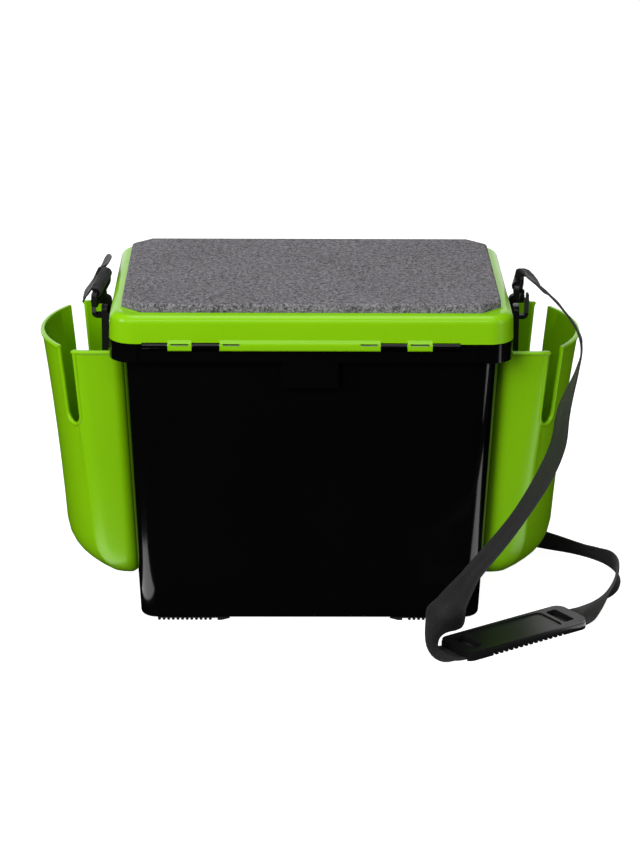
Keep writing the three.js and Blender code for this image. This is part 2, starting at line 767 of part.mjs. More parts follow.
// Snap hook, drawn upright round the middle of the ear's slot: a ring with a sprung gate,
// and a loop for the webbing that swivels on its neck
const hookThick = 6;
const hookWire = 4;
const hookInX = 193;
const hookOutX = 213;
const hookBar = 2;
const hookCrown = 21;
const hookRound = 6;
const neckRadius = 3;
const neckHoleRadius = 3.3;
const neckHeadRadius = 4.6;
const neckHeadHeight = 1.8;
const loopBase = 4;
const loopInHalf = 20.5;
const loopWindow = 8;
const loopWire = 4;
const loopThick = 5;
const gateGap = 0.4;
const gateLow = 4.5;
const gatePivotDrop = 2.6;
const gateEyeRadius = 2.6;
const hookCentreX = (hookInX + hookOutX) / 2;
const hookTop = hookCrown + hookWire / 2;
const gateX = hookOutX - hookWire / 2;
const gateZ = hookTop - hookWire - gatePivotDrop;

function makeHookRing() {
  const outline = roundedShape(hookInX, hookOutX, -hookBar, hookTop, hookRound);
  outline.holes.push(roundedShape(
    hookInX + hookWire, hookOutX - hookWire, hookBar, hookTop - hookWire, hookRound - hookWire / 2,
  ));
  const ring = solid(alongY(outline, hookThick));
  const gateRoom = block(
    hookOutX - hookWire - gateGap, hookOutX + overrun, -hookThick, hookThick, gateLow - gateGap, gateZ,
  );
  const eyeRoom = solid(rodAlong('y', gateEyeRadius + gateGap, hookThick * 2, gateX, 0, gateZ));
  const neckTop = hookTop + seatGap + loopBase + seatGap;
  const neckLow = hookTop - hookWire / 2;
  const neckLength = neckTop - neckLow + neckHeadHeight;
  const neck = solid(rodAlong('z', neckRadius, neckLength, hookCentreX, 0, neckLow + neckLength / 2));
  const headMiddle = neckTop + neckHeadHeight / 2;
  const head = solid(rodAlong('z', neckHeadRadius, neckHeadHeight, hookCentreX, 0, headMiddle));
  return shell(join([cut(ring, [gateRoom, eyeRoom]), neck, head]));
}

function makeGate() {
  const bar = block(
    hookOutX - hookWire, hookOutX, -hookThick / 2, hookThick / 2, gateLow, gateZ,
  );
  const eye = solid(rodAlong('y', gateEyeRadius, hookThick, gateX, 0, gateZ));
  return shell(bar.add(eye));
}

// Swivel loop, drawn with its top bar along Y
function makeSwivel() {
  const low = hookTop + seatGap;
  const high = low + loopBase + loopWindow + loopWire;
  const outHalf = loopInHalf + loopWire;
  const shape = roundedShape(-outHalf, outHalf, low, high, loopWire);
  shape.holes.push(roundedShape(-loopInHalf, loopInHalf, low + loopBase, high - loopWire, loopWire / 4));
  const frame = solid(alongX(shape, -loopThick / 2, loopThick / 2));
  const hole = solid(rodAlong('z', neckHoleRadius, loopBase * 3, 0, 0, low + loopBase / 2));
  const boss = solid(rodAlong('z', neckHeadRadius + hookWire / 4, loopBase, 0, 0, low + loopBase / 2));
  return shell(frame.add(boss).subtract(hole));
}

// How each hook stands in its slot: leaning forward, with its loop turned on the neck
const hookPoses = {
  left: { side: -1, lean: THREE.MathUtils.degToRad(18), turn: THREE.MathUtils.degToRad(-14) },
  right: { side: 1, lean: THREE.MathUtils.degToRad(4), turn: THREE.MathUtils.degToRad(-10) },
};

// Webbing: a flat strap along hand-chosen points, each with the direction of its width
const strapWidth = 38;
const strapThick = 1.8;
const strapSpan = 64;
const strapEdge = 0.3;
const strapRoute = [
  [203.9, -2.5, 311.2, 0.17, 0.98, 0.07],
  [199.9, -1.8, 312.3, 0.17, 0.98, 0.07],
  [198.1, -1.8, 316.1, 0.17, 0.98, 0.07],
  [200.1, -2.4, 320.2, 0.17, 0.98, 0.07],
  [203.8, -3.1, 321, 0.17, 0.98, 0.07],
  [209.5, -6.5, 321.2, 0.2, 0.97, 0.07],
  [218, -24, 317.5, 0.3, 0.93, 0.05],
  [230, -52, 313, 0.35, 0.88, -0.15],
  [243.6, -86, 303, 0.25, 0.85, -0.35],
  [251.5, -106, 292, 0.1, 0.9, -0.35],
  [253.3, -117, 278.5, 0, 0.95, -0.3],
  [249.3, -123, 262, -0.2, 0.95, -0.2],
  [237.4, -132, 226, -0.38, 0.9, -0.1],
  [232.3, -138, 194, -0.4, 0.9, -0.05],
  [220, -146, 166, -0.45, 0.88, 0],
  [197, -158, 131, -0.5, 0.85, 0.05],
  [178, -167, 108, -0.65, 0.7, 0.2],
  [150, -182, 79, -0.85, 0.4, 0.35],
  [132, -195, 56, -0.93, -0.1, 0.3],
  [122.5, -203.5, 38, -0.85, -0.5, 0.05],
  [118.5, -203.5, 24, -0.35, -0.9, -0.1],
  [119.5, -199.5, 12.5, 0.35, -0.9, 0],
  [125, -193.5, 4.8, 0.563, -0.826, 0],
  [134, -186.5, 2.1, 0.563, -0.826, 0],
  [165, -165.3, 1.9, 0.563, -0.826, 0],
  [196, -144.2, 1.9, 0.563, -0.826, 0],
  [227, -123, 1.9, 0.563, -0.826, 0],
  [250, -107.3, 1.9, 0.563, -0.826, 0],
  [258.5, -101.5, 2, 0.563, -0.826, 0],
  [266, -96.3, 3.4, 0.563, -0.826, 0.06],
  [273.5, -90.3, 7, 0.53, -0.75, 0.28],
  [281.5, -82.5, 11.6, 0.5, -0.62, 0.52],
  [292, -71, 16, 0.45, -0.45, 0.8],
  [303, -48, 20.2, 0.15, -0.15, 0.98],
  [307, -20, 19.8, -0.2, 0, 0.98],
  [303, 8, 17.5, -0.55, -0.15, 0.82],
  [291, 34, 15.5, -0.6, -0.4, 0.7],
  [270, 55, 15.5, -0.45, -0.55, 0.7],
  [240, 74, 16.5, -0.35, -0.5, 0.78],
  [200, 100, 18.5, -0.2, -0.35, 0.92],
  [150, 128, 19.6, -0.05, -0.2, 0.98],
  [90, 148, 19.8, 0, -0.25, 0.97],
  [30, 158, 17, 0, -0.55, 0.83],
  [-30, 161, 11.4, 0, -0.85, 0.5],
  [-85, 156, 4.2, 0, -0.99, 0.1],
  [-135, 147, 2, 0, -1, 0],
  [-178, 138, 5, 0, -1, 0],
  [-207, 132, 24, 0, -1, 0],
  [-219, 130, 60, 0, -1, 0],
  [-221, 130, 110, 0, -1, -0.02],
  [-219, 129, 160, 0, -1, -0.05],
  [-217, 127, 205, 0, -0.98, -0.15],
  [-216, 120, 240, 0, -0.97, -0.25],
  [-214, 113, 264, 0, -0.92, -0.4],
  [-213, 102, 286, 0, -0.8, -0.6],
  [-211, 84, 300, 0, -0.65, -0.76],
  [-208.5, 60, 306, 0, -0.5, -0.86],
  [-210, 34, 308, -0.05, -0.45, -0.88],
  [-212.5, 13, 308.5, -0.1, -0.6, -0.78],
  [-213, -3, 310, -0.2, -0.8, -0.55],
  [-209.3, -10.4, 314.6, -0.24, -0.92, -0.3],
  [-205.9, -12.3, 319.6, -0.24, -0.92, -0.3],
  [-200.9, -13.7, 319.6, -0.24, -0.92, -0.3],
  [-198, -13, 315.3, -0.24, -0.92, -0.3],
  [-200.2, -11.1, 311, -0.24, -0.92, -0.3],
  [-203.1, -10.1, 310.4, -0.24, -0.92, -0.3],
];

// The route's points and widths are run through smooth curves, and the width is squared to the run
function strapFrames(route, count) {
  const places = route.map(([x, y, z]) => new THREE.Vector3(x, y, z));
  const widths = route.map(([, , , x, y, z]) => new THREE.Vector3(x, y, z).normalize());
  const line = new THREE.CatmullRomCurve3(places, false, 'centripetal');
  const lean = new THREE.CatmullRomCurve3(widths, false, 'centripetal');
  const frames = [];
  for (let step = 0; step <= count; step += 1) {
    const share = step / count;
    const point = line.getPoint(share);
    const run = line.getTangent(share);
    const across = lean.getPoint(share);
    across.addScaledVector(run, -across.dot(run)).normalize();
    const up = new THREE.Vector3().crossVectors(run, across).normalize();
    frames.push({ point, across, up });
  }
  return frames;
}

function makeStrap() {
  const half = strapWidth / 2;
  const thick = strapThick / 2;
  const section = [
    [half, -thick + strapEdge], [half, thick - strapEdge], [half - strapEdge * 4, thick],
    [-half + strapEdge * 4, thick], [-half, thick - strapEdge], [-half, -thick + strapEdge],
    [-half + strapEdge * 4, -thick], [half - strapEdge * 4, -thick],
  ];
  const rings = strapFrames(strapRoute, strapSpan).map(({ point, across, up }) => section.map(
    ([side, rise]) => point.clone().addScaledVector(across, side).addScaledVector(up, rise),
  ));
  return loft(rings);
}

// Shoulder pad: a slim moulded plate that rides on the webbing, with a window at each end
const shoulderLength = 150;
const shoulderWide = 47;
const shoulderHigh = 9;
const shoulderRail = 3.6;
const shoulderTunnel = 3.6;
const shoulderRound = 10;
const shoulderWindow = 13;
const shoulderWindowHalf = 15;
const shoulderWindowInset = 12;
const shoulderToothPitch = 6;
const shoulderToothThick = 3;
const shoulderToothHigh = 2;
const shoulderToothReach = 42;
const shoulderX = 196;
const shoulderY = -144.2;
const shoulderTurn = THREE.MathUtils.degToRad(34.28);

function makeShoulderPad() {
  const halfLength = shoulderLength / 2;
  const halfWide = shoulderWide / 2;
  const plan = (inset) => roundedShape(
    -halfLength + inset, halfLength - inset, -halfWide + inset, halfWide - inset, shoulderRound,
  );
  const lip = shoulderHigh / 4;
  const body = raisedFrom(plan(0), 0, shoulderHigh - lip).add(raisedFrom(plan(lip / 2), 0, shoulderHigh));
  const tunnel = block(
    -halfLength - overrun, halfLength + overrun, -halfWide + shoulderRail, halfWide - shoulderRail,
    -overrun, shoulderTunnel,
  );
  const cuts = [tunnel];
  for (const sign of [-1, 1]) {
    const middle = sign * (halfLength - shoulderWindowInset - shoulderWindow / 2);
    cuts.push(block(
      middle - shoulderWindow / 2, middle + shoulderWindow / 2, -shoulderWindowHalf, shoulderWindowHalf,
      -overrun, shoulderHigh + overrun,
    ));
  }
  const teeth = Math.floor(shoulderToothReach / shoulderToothPitch);
  for (let tooth = -teeth; tooth <= teeth; tooth += 1) {
    const middle = tooth * shoulderToothPitch;
    const gap = shoulderToothPitch - shoulderToothThick;
    cuts.push(block(
      middle - gap / 2, middle + gap / 2, -shoulderWide, shoulderWide, -overrun, shoulderToothHigh,
    ));
  }
  return shell(cut(body, cuts));
}

const object = new THREE.Group();

const glossBlack = material(black, 0.28);
const glossGreen = material(green, 0.32);
const rubber = material(rubberBlack, 0.85);
const foam = material(foamGrey, 0.95);
const steel = material(steelGrey, 0.35, 1);
const webbing = material(black, 0.8);

addPiece('box_body', makeTub(), glossBlack);
for (const [name, signX, signY] of [
  ['foot_front_left', -1, -1], ['foot_front_right', 1, -1],
  ['foot_rear_left', -1, 1], ['foot_rear_right', 1, 1],
]) {
  addPiece(name, makeFoot(signX, signY), rubber.clone());
}
addPiece('lid_shell', makeLid(), glossGreen);
addPiece('seat_pad', makePad(), foam);

for (const side of ['left', 'right']) {
  const [xMin, xMax] = rodSpan(side);
  const front = rodAlong('x', rodRadius, xMax - xMin, (xMin + xMax) / 2, hingeY, hingeZ);
  addPiece(`hinge_rod_front_${side}`, front, steel.clone());
  const rear = rodAlong('x', rodRadius, xMax - xMin, -(xMin + xMax) / 2, -hingeY, hingeZ);
  addPiece(`hinge_rod_rear_${side === 'left' ? 'right' : 'left'}`, rear, steel.clone());
}

for (const [name, { side, lean, turn }] of Object.entries(hookPoses)) {
  addPiece(`pocket_${name}`, makePocket(side), glossGreen.clone());
  addPiece(`strap_ear_${name}`, makeEar(side), glossBlack.clone());
  addPiece(`ear_screw_${name}_front`, makeEarScrew(side, -earScrewY), steel.clone());
  addPiece(`ear_screw_${name}_rear`, makeEarScrew(side, earScrewY), steel.clone());

  const hook = new THREE.Group();
  hook.position.z = slotLow + seatGap + hookBar * Math.cos(lean) + hookThick / 2 * Math.sin(lean);
  hook.rotation.x = lean;
  object.add(hook);
  const turned = (geometry) => (side < 0 ? geometry.rotateZ(Math.PI) : geometry);
  addPiece(`snap_hook_${name}`, turned(makeHookRing()), glossBlack.clone(), hook);
  addPiece(`hook_gate_${name}`, turned(makeGate()), glossBlack.clone(), hook);
  const swivel = addPiece(`hook_swivel_${name}`, makeSwivel(), glossBlack.clone(), hook);
  swivel.position.x = side * hookCentreX;
  swivel.rotation.z = turn;
}

addPiece('strap_webbing', makeStrap(), webbing);
const shoulderPad = addPiece('shoulder_pad', makeShoulderPad(), glossBlack.clone());
shoulderPad.position.set(shoulderX, shoulderY, 0);
shoulderPad.rotation.z = shoulderTurn;

export default object;
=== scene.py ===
# Fishing seat box: a black tub with a green two-way lid, a foam seat, two side pockets and a
# shoulder strap. Sizes are in millimetres, and each finished mesh is brought to metres.
import math

import bmesh
import bpy
from mathutils import Matrix, Vector
from mathutils.bvhtree import BVHTree


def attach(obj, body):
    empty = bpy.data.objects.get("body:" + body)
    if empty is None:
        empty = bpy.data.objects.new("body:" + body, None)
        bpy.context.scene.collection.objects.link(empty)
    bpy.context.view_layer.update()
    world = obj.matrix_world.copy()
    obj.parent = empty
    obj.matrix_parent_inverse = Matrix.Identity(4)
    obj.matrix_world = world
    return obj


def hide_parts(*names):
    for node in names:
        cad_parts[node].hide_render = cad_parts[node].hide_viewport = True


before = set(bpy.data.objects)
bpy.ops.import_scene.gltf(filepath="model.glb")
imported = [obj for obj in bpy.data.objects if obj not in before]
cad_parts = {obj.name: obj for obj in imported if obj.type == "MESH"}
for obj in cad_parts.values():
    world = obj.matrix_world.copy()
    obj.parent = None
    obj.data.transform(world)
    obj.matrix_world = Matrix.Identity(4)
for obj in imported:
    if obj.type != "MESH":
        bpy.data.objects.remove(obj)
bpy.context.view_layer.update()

MM = 0.001
HALF_TURN = Matrix.Rotation(math.pi, 4, "Z")
MIRROR_X = Matrix.Diagonal((-1, 1, 1, 1))
MIRROR_Y = Matrix.Diagonal((1, -1, 1, 1))


# Camera at the photograph's place
CAMERA_PLACE = (-0.025567, -2.60637, 1.060549)
CAMERA_PITCH = 0.33124
CAMERA_YAW = 0.01368
CAMERA_ROLL = 0.00628
CAMERA_LENS = 156.56
CAMERA_SENSOR = 36


def make_camera():
    forward = Vector((
        math.sin(CAMERA_YAW) * math.cos(CAMERA_PITCH),
        math.cos(CAMERA_YAW) * math.cos(CAMERA_PITCH),
        -math.sin(CAMERA_PITCH),
    ))
    level_right = Vector((math.cos(CAMERA_YAW), -math.sin(CAMERA_YAW), 0))
    level_up = level_right.cross(forward)
    right = level_right * math.cos(CAMERA_ROLL) + level_up * math.sin(CAMERA_ROLL)
    up = level_up * math.cos(CAMERA_ROLL) - level_right * math.sin(CAMERA_ROLL)
    turn = Matrix((right, up, -forward)).transposed().to_4x4()
    data = bpy.data.cameras.new("camera")
    data.lens = CAMERA_LENS
    data.sensor_fit = "HORIZONTAL"
    data.sensor_width = CAMERA_SENSOR
    camera = bpy.data.objects.new("camera", data)
    bpy.context.scene.collection.objects.link(camera)
    camera.matrix_world = Matrix.Translation(CAMERA_PLACE) @ turn
    bpy.context.scene.camera = camera


# Pale floor, white surroundings, soft lights, and pale cards that only reflections show
FLOOR_HALF = 12000
SURROUNDINGS = 0.17
CARD_CORNER = (0.16, -0.1, 0.003)


def area_light(name, power, width, tall, place, turn):
    """A light that shines down its own Z axis and isn't seen itself."""
    data = bpy.data.lights.new(name, "AREA")
    data.energy = power
    data.size = width
    if tall:
        data.shape = "RECTANGLE"
        data.size_y = tall
    light = bpy.data.objects.new(name, data)
    bpy.context.scene.collection.objects.link(light)
    light.matrix_world = Matrix.Translation(place) @ turn.to_4x4()
    light.visible_camera = False
    return light


def make_light(name, place, aim, width, power, tall=None):
    """A light that is aimed at a spot."""
    direction = Vector(aim) - Vector(place)
    turn = direction.to_track_quat("-Z", "Y").to_matrix()
    return area_light(name, power, width, tall, place, turn)


def make_floor_card(name, azimuth, near, far, width, power):
    """A pale card that lies beside the tub's front corner, along a direction from it."""
    run = Vector((math.sin(azimuth), -math.cos(azimuth), 0))
    down = Vector((0, 0, -1))
    turn = Matrix((run.cross(down), run, down)).transposed()
    across, front, low = CARD_CORNER
    corner = Vector((math.copysign(across, azimuth), front, low))
    card = area_light(name, power, width, far - near, corner + run * (near + far) / 2, turn)
    card.visible_diffuse = False


def make_studio():
    floor_finish = Finish(
        "studio floor", (0.5, 0.5, 0.5), 0.9, Emission_Color=(1, 1, 1, 1), Emission_Strength=0.95,
        Specular_IOR_Level=0,
    )
    bm = bmesh.new()
    bmesh.ops.create_grid(bm, x_segments=1, y_segments=1, size=FLOOR_HALF)
    floor = new_object("floor", metre_mesh(bm, "floor"))
    floor.data.materials.append(floor_finish.material)
    floor.visible_glossy = False
    floor.visible_diffuse = False
    world = bpy.data.worlds.new("white surroundings")
    bpy.context.scene.world = world
    world.use_nodes = True
    world.cycles_visibility.glossy = False
    background = world.node_tree.nodes["Background"]
    background.inputs["Color"].default_value = (1, 1, 1, 1)
    background.inputs["Strength"].default_value = SURROUNDINGS
    make_light("overhead", (0, 0.1, 2.4), (0, 0, 0.2), 1.5, 22)
    make_light("front strip", (0, -2.2, 2), (0, 0, 0.2), 2.6, 15, tall=0.5)
    fill = make_light("front fill", (-1.25, -2.7, 1.3), (0, 0, 0.15), 1.2, 52)
    fill.visible_glossy = False
    make_light("left strip", (-1.6, -0.9, 0.95), (-0.1, 0, 0.25), 0.35, 10, tall=0.9)
    make_light("right strip", (1.6, -0.9, 0.7), (0.1, 0, 0.15), 0.35, 5, tall=1.3)
    card = make_light("rear card", (0, 3.2, 0.7), (0, 0, 0.5), 6, 50, tall=1.8)
    card.visible_diffuse = False
    make_floor_card("left floor card", math.radians(-60), 0.03, 0.16, 0.1, 0.13)
    make_floor_card("right floor card", math.radians(58), 0.1, 0.95, 0.13, 0.9)
    bpy.context.scene.view_settings.view_transform = "Standard"


# Finishes
class Wire:
    """A value in a finish's nodes. Arithmetic on it adds Math nodes."""

    def __init__(self, finish, socket):
        self.finish = finish
        self.socket = socket

    def math(self, operation, *values):
        return self.finish.node("ShaderNodeMath", {"operation": operation}, dict(enumerate(values)))

    def __add__(self, other):
        return self.math("ADD", self, other)

    def __sub__(self, other):
        return self.math("SUBTRACT", self, other)

    def __rsub__(self, other):
        return self.math("SUBTRACT", other, self)

    def __mul__(self, other):
        return self.math("MULTIPLY", self, other)

    def __truediv__(self, other):
        return self.math("DIVIDE", self, other)

    __radd__ = __add__
    __rmul__ = __mul__


class Finish:
    """A procedural material round one Principled shader."""

    def __init__(self, name, color, roughness, **fixed):
        self.material = bpy.data.materials.new(name)
        self.material.use_nodes = True
        self.tree = self.material.node_tree
        self.shader = self.tree.nodes["Principled BSDF"]
        self.shader.inputs["Base Color"].default_value = (*color, 1)
        self.shader.inputs["Roughness"].default_value = roughness
        for socket, value in fixed.items():
            self.shader.inputs[socket.replace("_", " ")].default_value = value

    def feed(self, socket, value):
        if isinstance(value, Wire):
            self.tree.links.new(value.socket, socket)
        else:
            socket.default_value = value

    def node(self, kind, settings, inputs, output=0):
        """Adds a node of one kind: its settings first, then its sockets' values or links."""
        made = self.tree.nodes.new(kind)
        for setting, value in settings.items():
            if setting == "stops":
                for stop, (position, shade) in zip(made.color_ramp.elements, value):
                    stop.position = position
                    stop.color = (shade, shade, shade, 1)
            else:
                setattr(made, setting, value)
        for socket, value in inputs.items():
            self.feed(made.inputs[socket], value)
        return Wire(self, made.outputs[output])

    def place(self):
        return self.node("ShaderNodeTexCoord", {}, {}, "Object")

    def stretched(self, place, scale):
        return self.node("ShaderNodeMapping", {}, {"Vector": place, "Scale": scale})

    def noise(self, place, scale, detail, roughness=0.5):
        inputs = {"Vector": place, "Scale": scale, "Detail": detail, "Roughness": roughness}
        return self.node("ShaderNodeTexNoise", {}, inputs)

    def ramp(self, value, low, high):
        stops = [(low, 0), (high, 1)]
        return self.node("ShaderNodeValToRGB", {"stops": stops}, {"Fac": value})

    def mixed(self, factor, first, second):
        inputs = {0: factor, 6: (*first, 1), 7: (*second, 1)}
        return self.node("ShaderNodeMix", {"data_type": "RGBA"}, inputs, 2)

    def paint(self, color, roughness):
        self.feed(self.shader.inputs["Base Color"], color)
        self.feed(self.shader.inputs["Roughness"], roughness)

    def relief(self, height, strength, distance):
        inputs = {"Strength": strength, "Distance": distance, "Height": height}
        bump = self.node("ShaderNodeBump", {}, inputs)
        self.feed(self.shader.inputs["Normal"], bump)


def black_tub_plastic():
    finish = Finish("black tub plastic", (0.001, 0.001, 0.0012), 0.13, Specular_IOR_Level=0.4)
    place = finish.place()
    cloud = finish.noise(place, 7, 3)
    grain = finish.noise(place, 1500, 2)
    rubs = finish.ramp(finish.noise(finish.stretched(place, (60, 60, 900)), 1, 3), 0.62, 0.8)
    finish.paint(
        finish.mixed(cloud, (0.0014, 0.0014, 0.0017), (0.0024, 0.0024, 0.0028)),
        0.09 + cloud * 0.07 + grain * 0.04 + rubs * 0.1,
    )
    finish.relief(grain * 0.5 + cloud, 0.05, 0.0004)
    return finish


def lime_plastic():
    finish = Finish("lime plastic", (0.2, 0.55, 0.002), 0.26, Specular_IOR_Level=0.35)
    place = finish.place()
    cloud = finish.noise(place, 11, 3)
    grain = finish.noise(place, 1700, 2)
    finish.paint(
        finish.mixed(cloud, (0.215, 0.53, 0.0008), (0.245, 0.57, 0.0016)),
        0.23 + cloud * 0.07 + grain * 0.05,
    )
    finish.relief(grain * 0.4 + cloud * 0.6, 0.05, 0.0004)
    return finish


def speckled_foam():
    finish = Finish("speckled foam", (0.13, 0.13, 0.135), 0.95, Specular_IOR_Level=0.15)
    place = finish.place()
    fine = finish.noise(place, 540, 3, 0.8)
    coarse = finish.noise(place, 240, 2, 0.6)
    cloud = finish.noise(place, 14, 2)
    speckle = finish.ramp(fine * 0.75 + coarse * 0.25, 0.4, 0.62)
    tone = speckle * 0.85 + cloud * 0.15
    finish.paint(
        finish.mixed(tone, (0.022, 0.021, 0.023), (0.34, 0.328, 0.352)),
        0.85 + speckle * 0.1,
    )
    finish.relief(speckle, 0.5, 0.0006)
    return finish


def foot_rubber():
    finish = Finish("foot rubber", (0.012, 0.012, 0.012), 0.75, Specular_IOR_Level=0.3)
    place = finish.place()
    grain = finish.noise(place, 900, 4, 0.7)
    dust = finish.noise(place, 40, 3)
    finish.paint(
        finish.mixed(dust, (0.008, 0.008, 0.008), (0.022, 0.022, 0.021)),
        0.65 + grain * 0.25,
    )
    finish.relief(grain, 0.2, 0.0003)
    return finish


def drawn_steel():
    finish = Finish("drawn steel", (0.52, 0.52, 0.54), 0.3, Metallic=1.0)
    place = finish.place()
    lines = finish.noise(finish.stretched(place, (20, 2400, 2400)), 1, 3)
    finish.paint(
        finish.mixed(lines, (0.42, 0.42, 0.44), (0.6, 0.6, 0.62)),
        0.24 + lines * 0.2,
    )
    finish.relief(lines, 0.06, 0.0002)
    return finish


def moulded_nylon(name, dark, light):
    finish = Finish(name, light, 0.34, Specular_IOR_Level=0.38)
    place = finish.place()
    cloud = finish.noise(place, 60, 3)
    grain = finish.noise(place, 2200, 2)
    finish.paint(
        finish.mixed(cloud, dark, light),
        0.26 + cloud * 0.12 + grain * 0.08,
    )
    finish.relief(grain + cloud * 0.5, 0.08, 0.0003)
    return finish


# The weave of the webbing, in metres as the strap's own chart is
WEAVE_PITCH = 0.0024
YARN_SHARE = 0.4
WEAVE_BAND = 0.0095
SELVEDGE = 0.0012
STRAP_HALF = 0.019


def ribbed_webbing():
    finish = Finish("ribbed webbing", (0.012, 0.012, 0.013), 0.6, Sheen_Weight=0.08, Sheen_Roughness=0.4)
    split = finish.tree.nodes.new("ShaderNodeSeparateXYZ")
    chart = finish.node("ShaderNodeUVMap", {"uv_map": "lay"}, {})
    finish.feed(split.inputs[0], chart)
    along = Wire(finish, split.outputs[0])
    across = Wire(finish, split.outputs[1])
    zigzag = across.math("PINGPONG", across, WEAVE_BAND)
    angle = (along + zigzag) * (2 * math.pi / WEAVE_PITCH)
    rib = angle.math("SINE", angle)
    fine_angle = across * (2 * math.pi / (WEAVE_PITCH * YARN_SHARE))
    yarn = fine_angle.math("SINE", fine_angle)
    offset = across - STRAP_HALF
    from_middle = offset.math("ABSOLUTE", offset) / STRAP_HALF
    edge_band = SELVEDGE / STRAP_HALF
    edge = finish.ramp(from_middle, 1 - 2.2 * edge_band, 1 - 1.2 * edge_band)
    height = rib * 0.38 + yarn * 0.1 + 0.5
    wear = finish.noise(finish.place(), 90, 3)
    # The colour follows the weave's height: rib crests and the raised selvedge are painted lighter and
    # the grooves darker, a painted highlight and painted shade; the wear noise adds a little real tone.
    tone = height * 0.6 + wear * 0.1 + edge * 0.35
    finish.paint(
        finish.mixed(tone, (0.0004, 0.0004, 0.0006), (0.02, 0.02, 0.021)),
        0.48 + height * 0.25,
    )
    finish.relief(height + edge * 0.6, 0.6, 0.0006)
    return finish


# Building blocks, drawn in millimetres
def metre_mesh(bm, name):
    """A mesh in metres from a bmesh in millimetres."""
    bmesh.ops.scale(bm, vec=(MM, MM, MM), verts=bm.verts)
    mesh = bpy.data.meshes.new(name)
    bm.to_mesh(mesh)
    bm.free()
    return mesh


def new_object(name, mesh):
    made = bpy.data.objects.new(name, mesh)
    bpy.context.scene.collection.objects.link(made)
    return made


def block(x_low, x_high, y_low, y_high, z_low, z_high):
    bm = bmesh.new()
    size = Matrix.Diagonal((x_high - x_low, y_high - y_low, z_high - z_low, 1))
    middle = ((x_low + x_high) / 2, (y_low + y_high) / 2, (z_low + z_high) / 2)
    bmesh.ops.create_cube(bm, size=1, matrix=Matrix.Translation(middle) @ size)
    return bm


TURN_TO = {
    "x": Matrix.Rotation(math.pi / 2, 4, "Y"),
    "y": Matrix.Rotation(-math.pi / 2, 4, "X"),
    "z": Matrix.Identity(4),
}


def rod(axis, radius, length, middle, sides=32, tip=None):
    """A round bar along one axis; tip is the radius of its far end."""
    bm = bmesh.new()
    bmesh.ops.create_cone(
        bm, cap_ends=True, segments=sides, radius1=radius, radius2=radius if tip is None else tip,
        depth=length, matrix=Matrix.Translation(middle) @ TURN_TO[axis],
    )
    return bm


def moved(bm, matrix):
    """A copy of a bmesh, moved, with its faces still pointing out."""
    copy = bm.copy()
    bmesh.ops.transform(copy, matrix=matrix, verts=copy.verts)
    if matrix.determinant() < 0:
        bmesh.ops.reverse_faces(copy, faces=copy.faces)
    return copy


def with_twins(bodies, matrix):
    """The bodies, and a copy of each that is turned or mirrored by the matrix."""
    return bodies + [moved(body, matrix) for body in bodies]


def combined(base, tools, operation):
    """Joins closed bodies to a base, or cuts it with them, and uses them all up."""
    holder = new_object("holder", bpy.data.meshes.new("holder"))
    base.to_mesh(holder.data)
    base.free()
    helpers = []
    for tool in tools:
        helper = new_object("helper", bpy.data.meshes.new("helper"))
        tool.to_mesh(helper.data)
        tool.free()
        step = holder.modifiers.new("step", "BOOLEAN")
        step.operation = operation
        step.solver = "MANIFOLD"
        step.object = helper
        helpers.append(helper)
    result = bmesh.new()
    result.from_object(holder, bpy.context.evaluated_depsgraph_get())
    for used in [holder, *helpers]:
        mesh = used.data
        bpy.data.objects.remove(used)
        bpy.data.meshes.remove(mesh)
    return result


def joined(base, tools):
    return combined(base, tools, "UNION")


def cut(base, tools):
    return combined(base, tools, "DIFFERENCE")


def prism(corners, axis, low, high, rounds=None, steps=6):
    """A solid from an outline of a few corners, drawn square to one axis; rounds gives each
    corner's radius."""
    bm = bmesh.new()
    spots = {
        "x": lambda a, b: (low, a, b),
        "y": lambda a, b: (a, low, b),
        "z": lambda a, b: (a, b, low),
    }[axis]
    verts = [bm.verts.new(spots(*corner)) for corner in corners]
    bm.faces.new(verts)
    for vert, radius in zip(verts, rounds or []):
        if radius:
            bmesh.ops.bevel(
                bm, geom=[vert], offset=radius, offset_type="OFFSET", segments=steps, profile=0.5,
                affect="VERTICES", material=-1, clamp_overlap=False,
            )
    face = bm.faces[:][0]
    grown = bmesh.ops.extrude_face_region(bm, geom=[face])
    top = [part for part in grown["geom"] if isinstance(part, bmesh.types.BMVert)]
    shift = {"x": (high - low, 0, 0), "y": (0, high - low, 0), "z": (0, 0, high - low)}[axis]
    bmesh.ops.translate(bm, vec=shift, verts=top)
    bmesh.ops.recalc_face_normals(bm, faces=bm.faces)
    return bm


def rectangle(a_low, a_high, b_low, b_high):
    return [(a_low, b_low), (a_high, b_low), (a_high, b_high), (a_low, b_high)]


def rounded_plate(axis, a_half, b_low, b_high, low, high, radius):
    return prism(rectangle(-a_half, a_half, b_low, b_high), axis, low, high, [radius] * 4)


CORNER_STEPS = 12


def rounded_ring(bm, half_x, half_y, radius, z):
    """A flat face with round corners, whose edges are one level of a moulding."""
    shape = Matrix.Translation((0, 0, z)) @ Matrix.Diagonal((half_x, half_y, 1, 1))
    made = bmesh.ops.create_grid(bm, x_segments=1, y_segments=1, size=1, matrix=shape)
    others = set(bm.faces) - {face for vert in made["verts"] for face in vert.link_faces}
    bmesh.ops.bevel(
        bm, geom=made["verts"], offset=radius, offset_type="OFFSET", segments=CORNER_STEPS,
        profile=0.5, affect="VERTICES", material=-1, clamp_overlap=False,
    )
    return next(face for face in bm.faces if face not in others)


def skinned(bm, levels):
    """Walls between successive levels; the first and the last stay as the ends."""
    loops = [list(face.edges) for face in levels]
    bmesh.ops.delete(bm, geom=levels[1:-1], context="FACES_ONLY")
    for low, high in zip(loops, loops[1:]):
        bmesh.ops.bridge_loops(bm, edges=low + high)
    bmesh.ops.recalc_face_normals(bm, faces=bm.faces)
    return bm


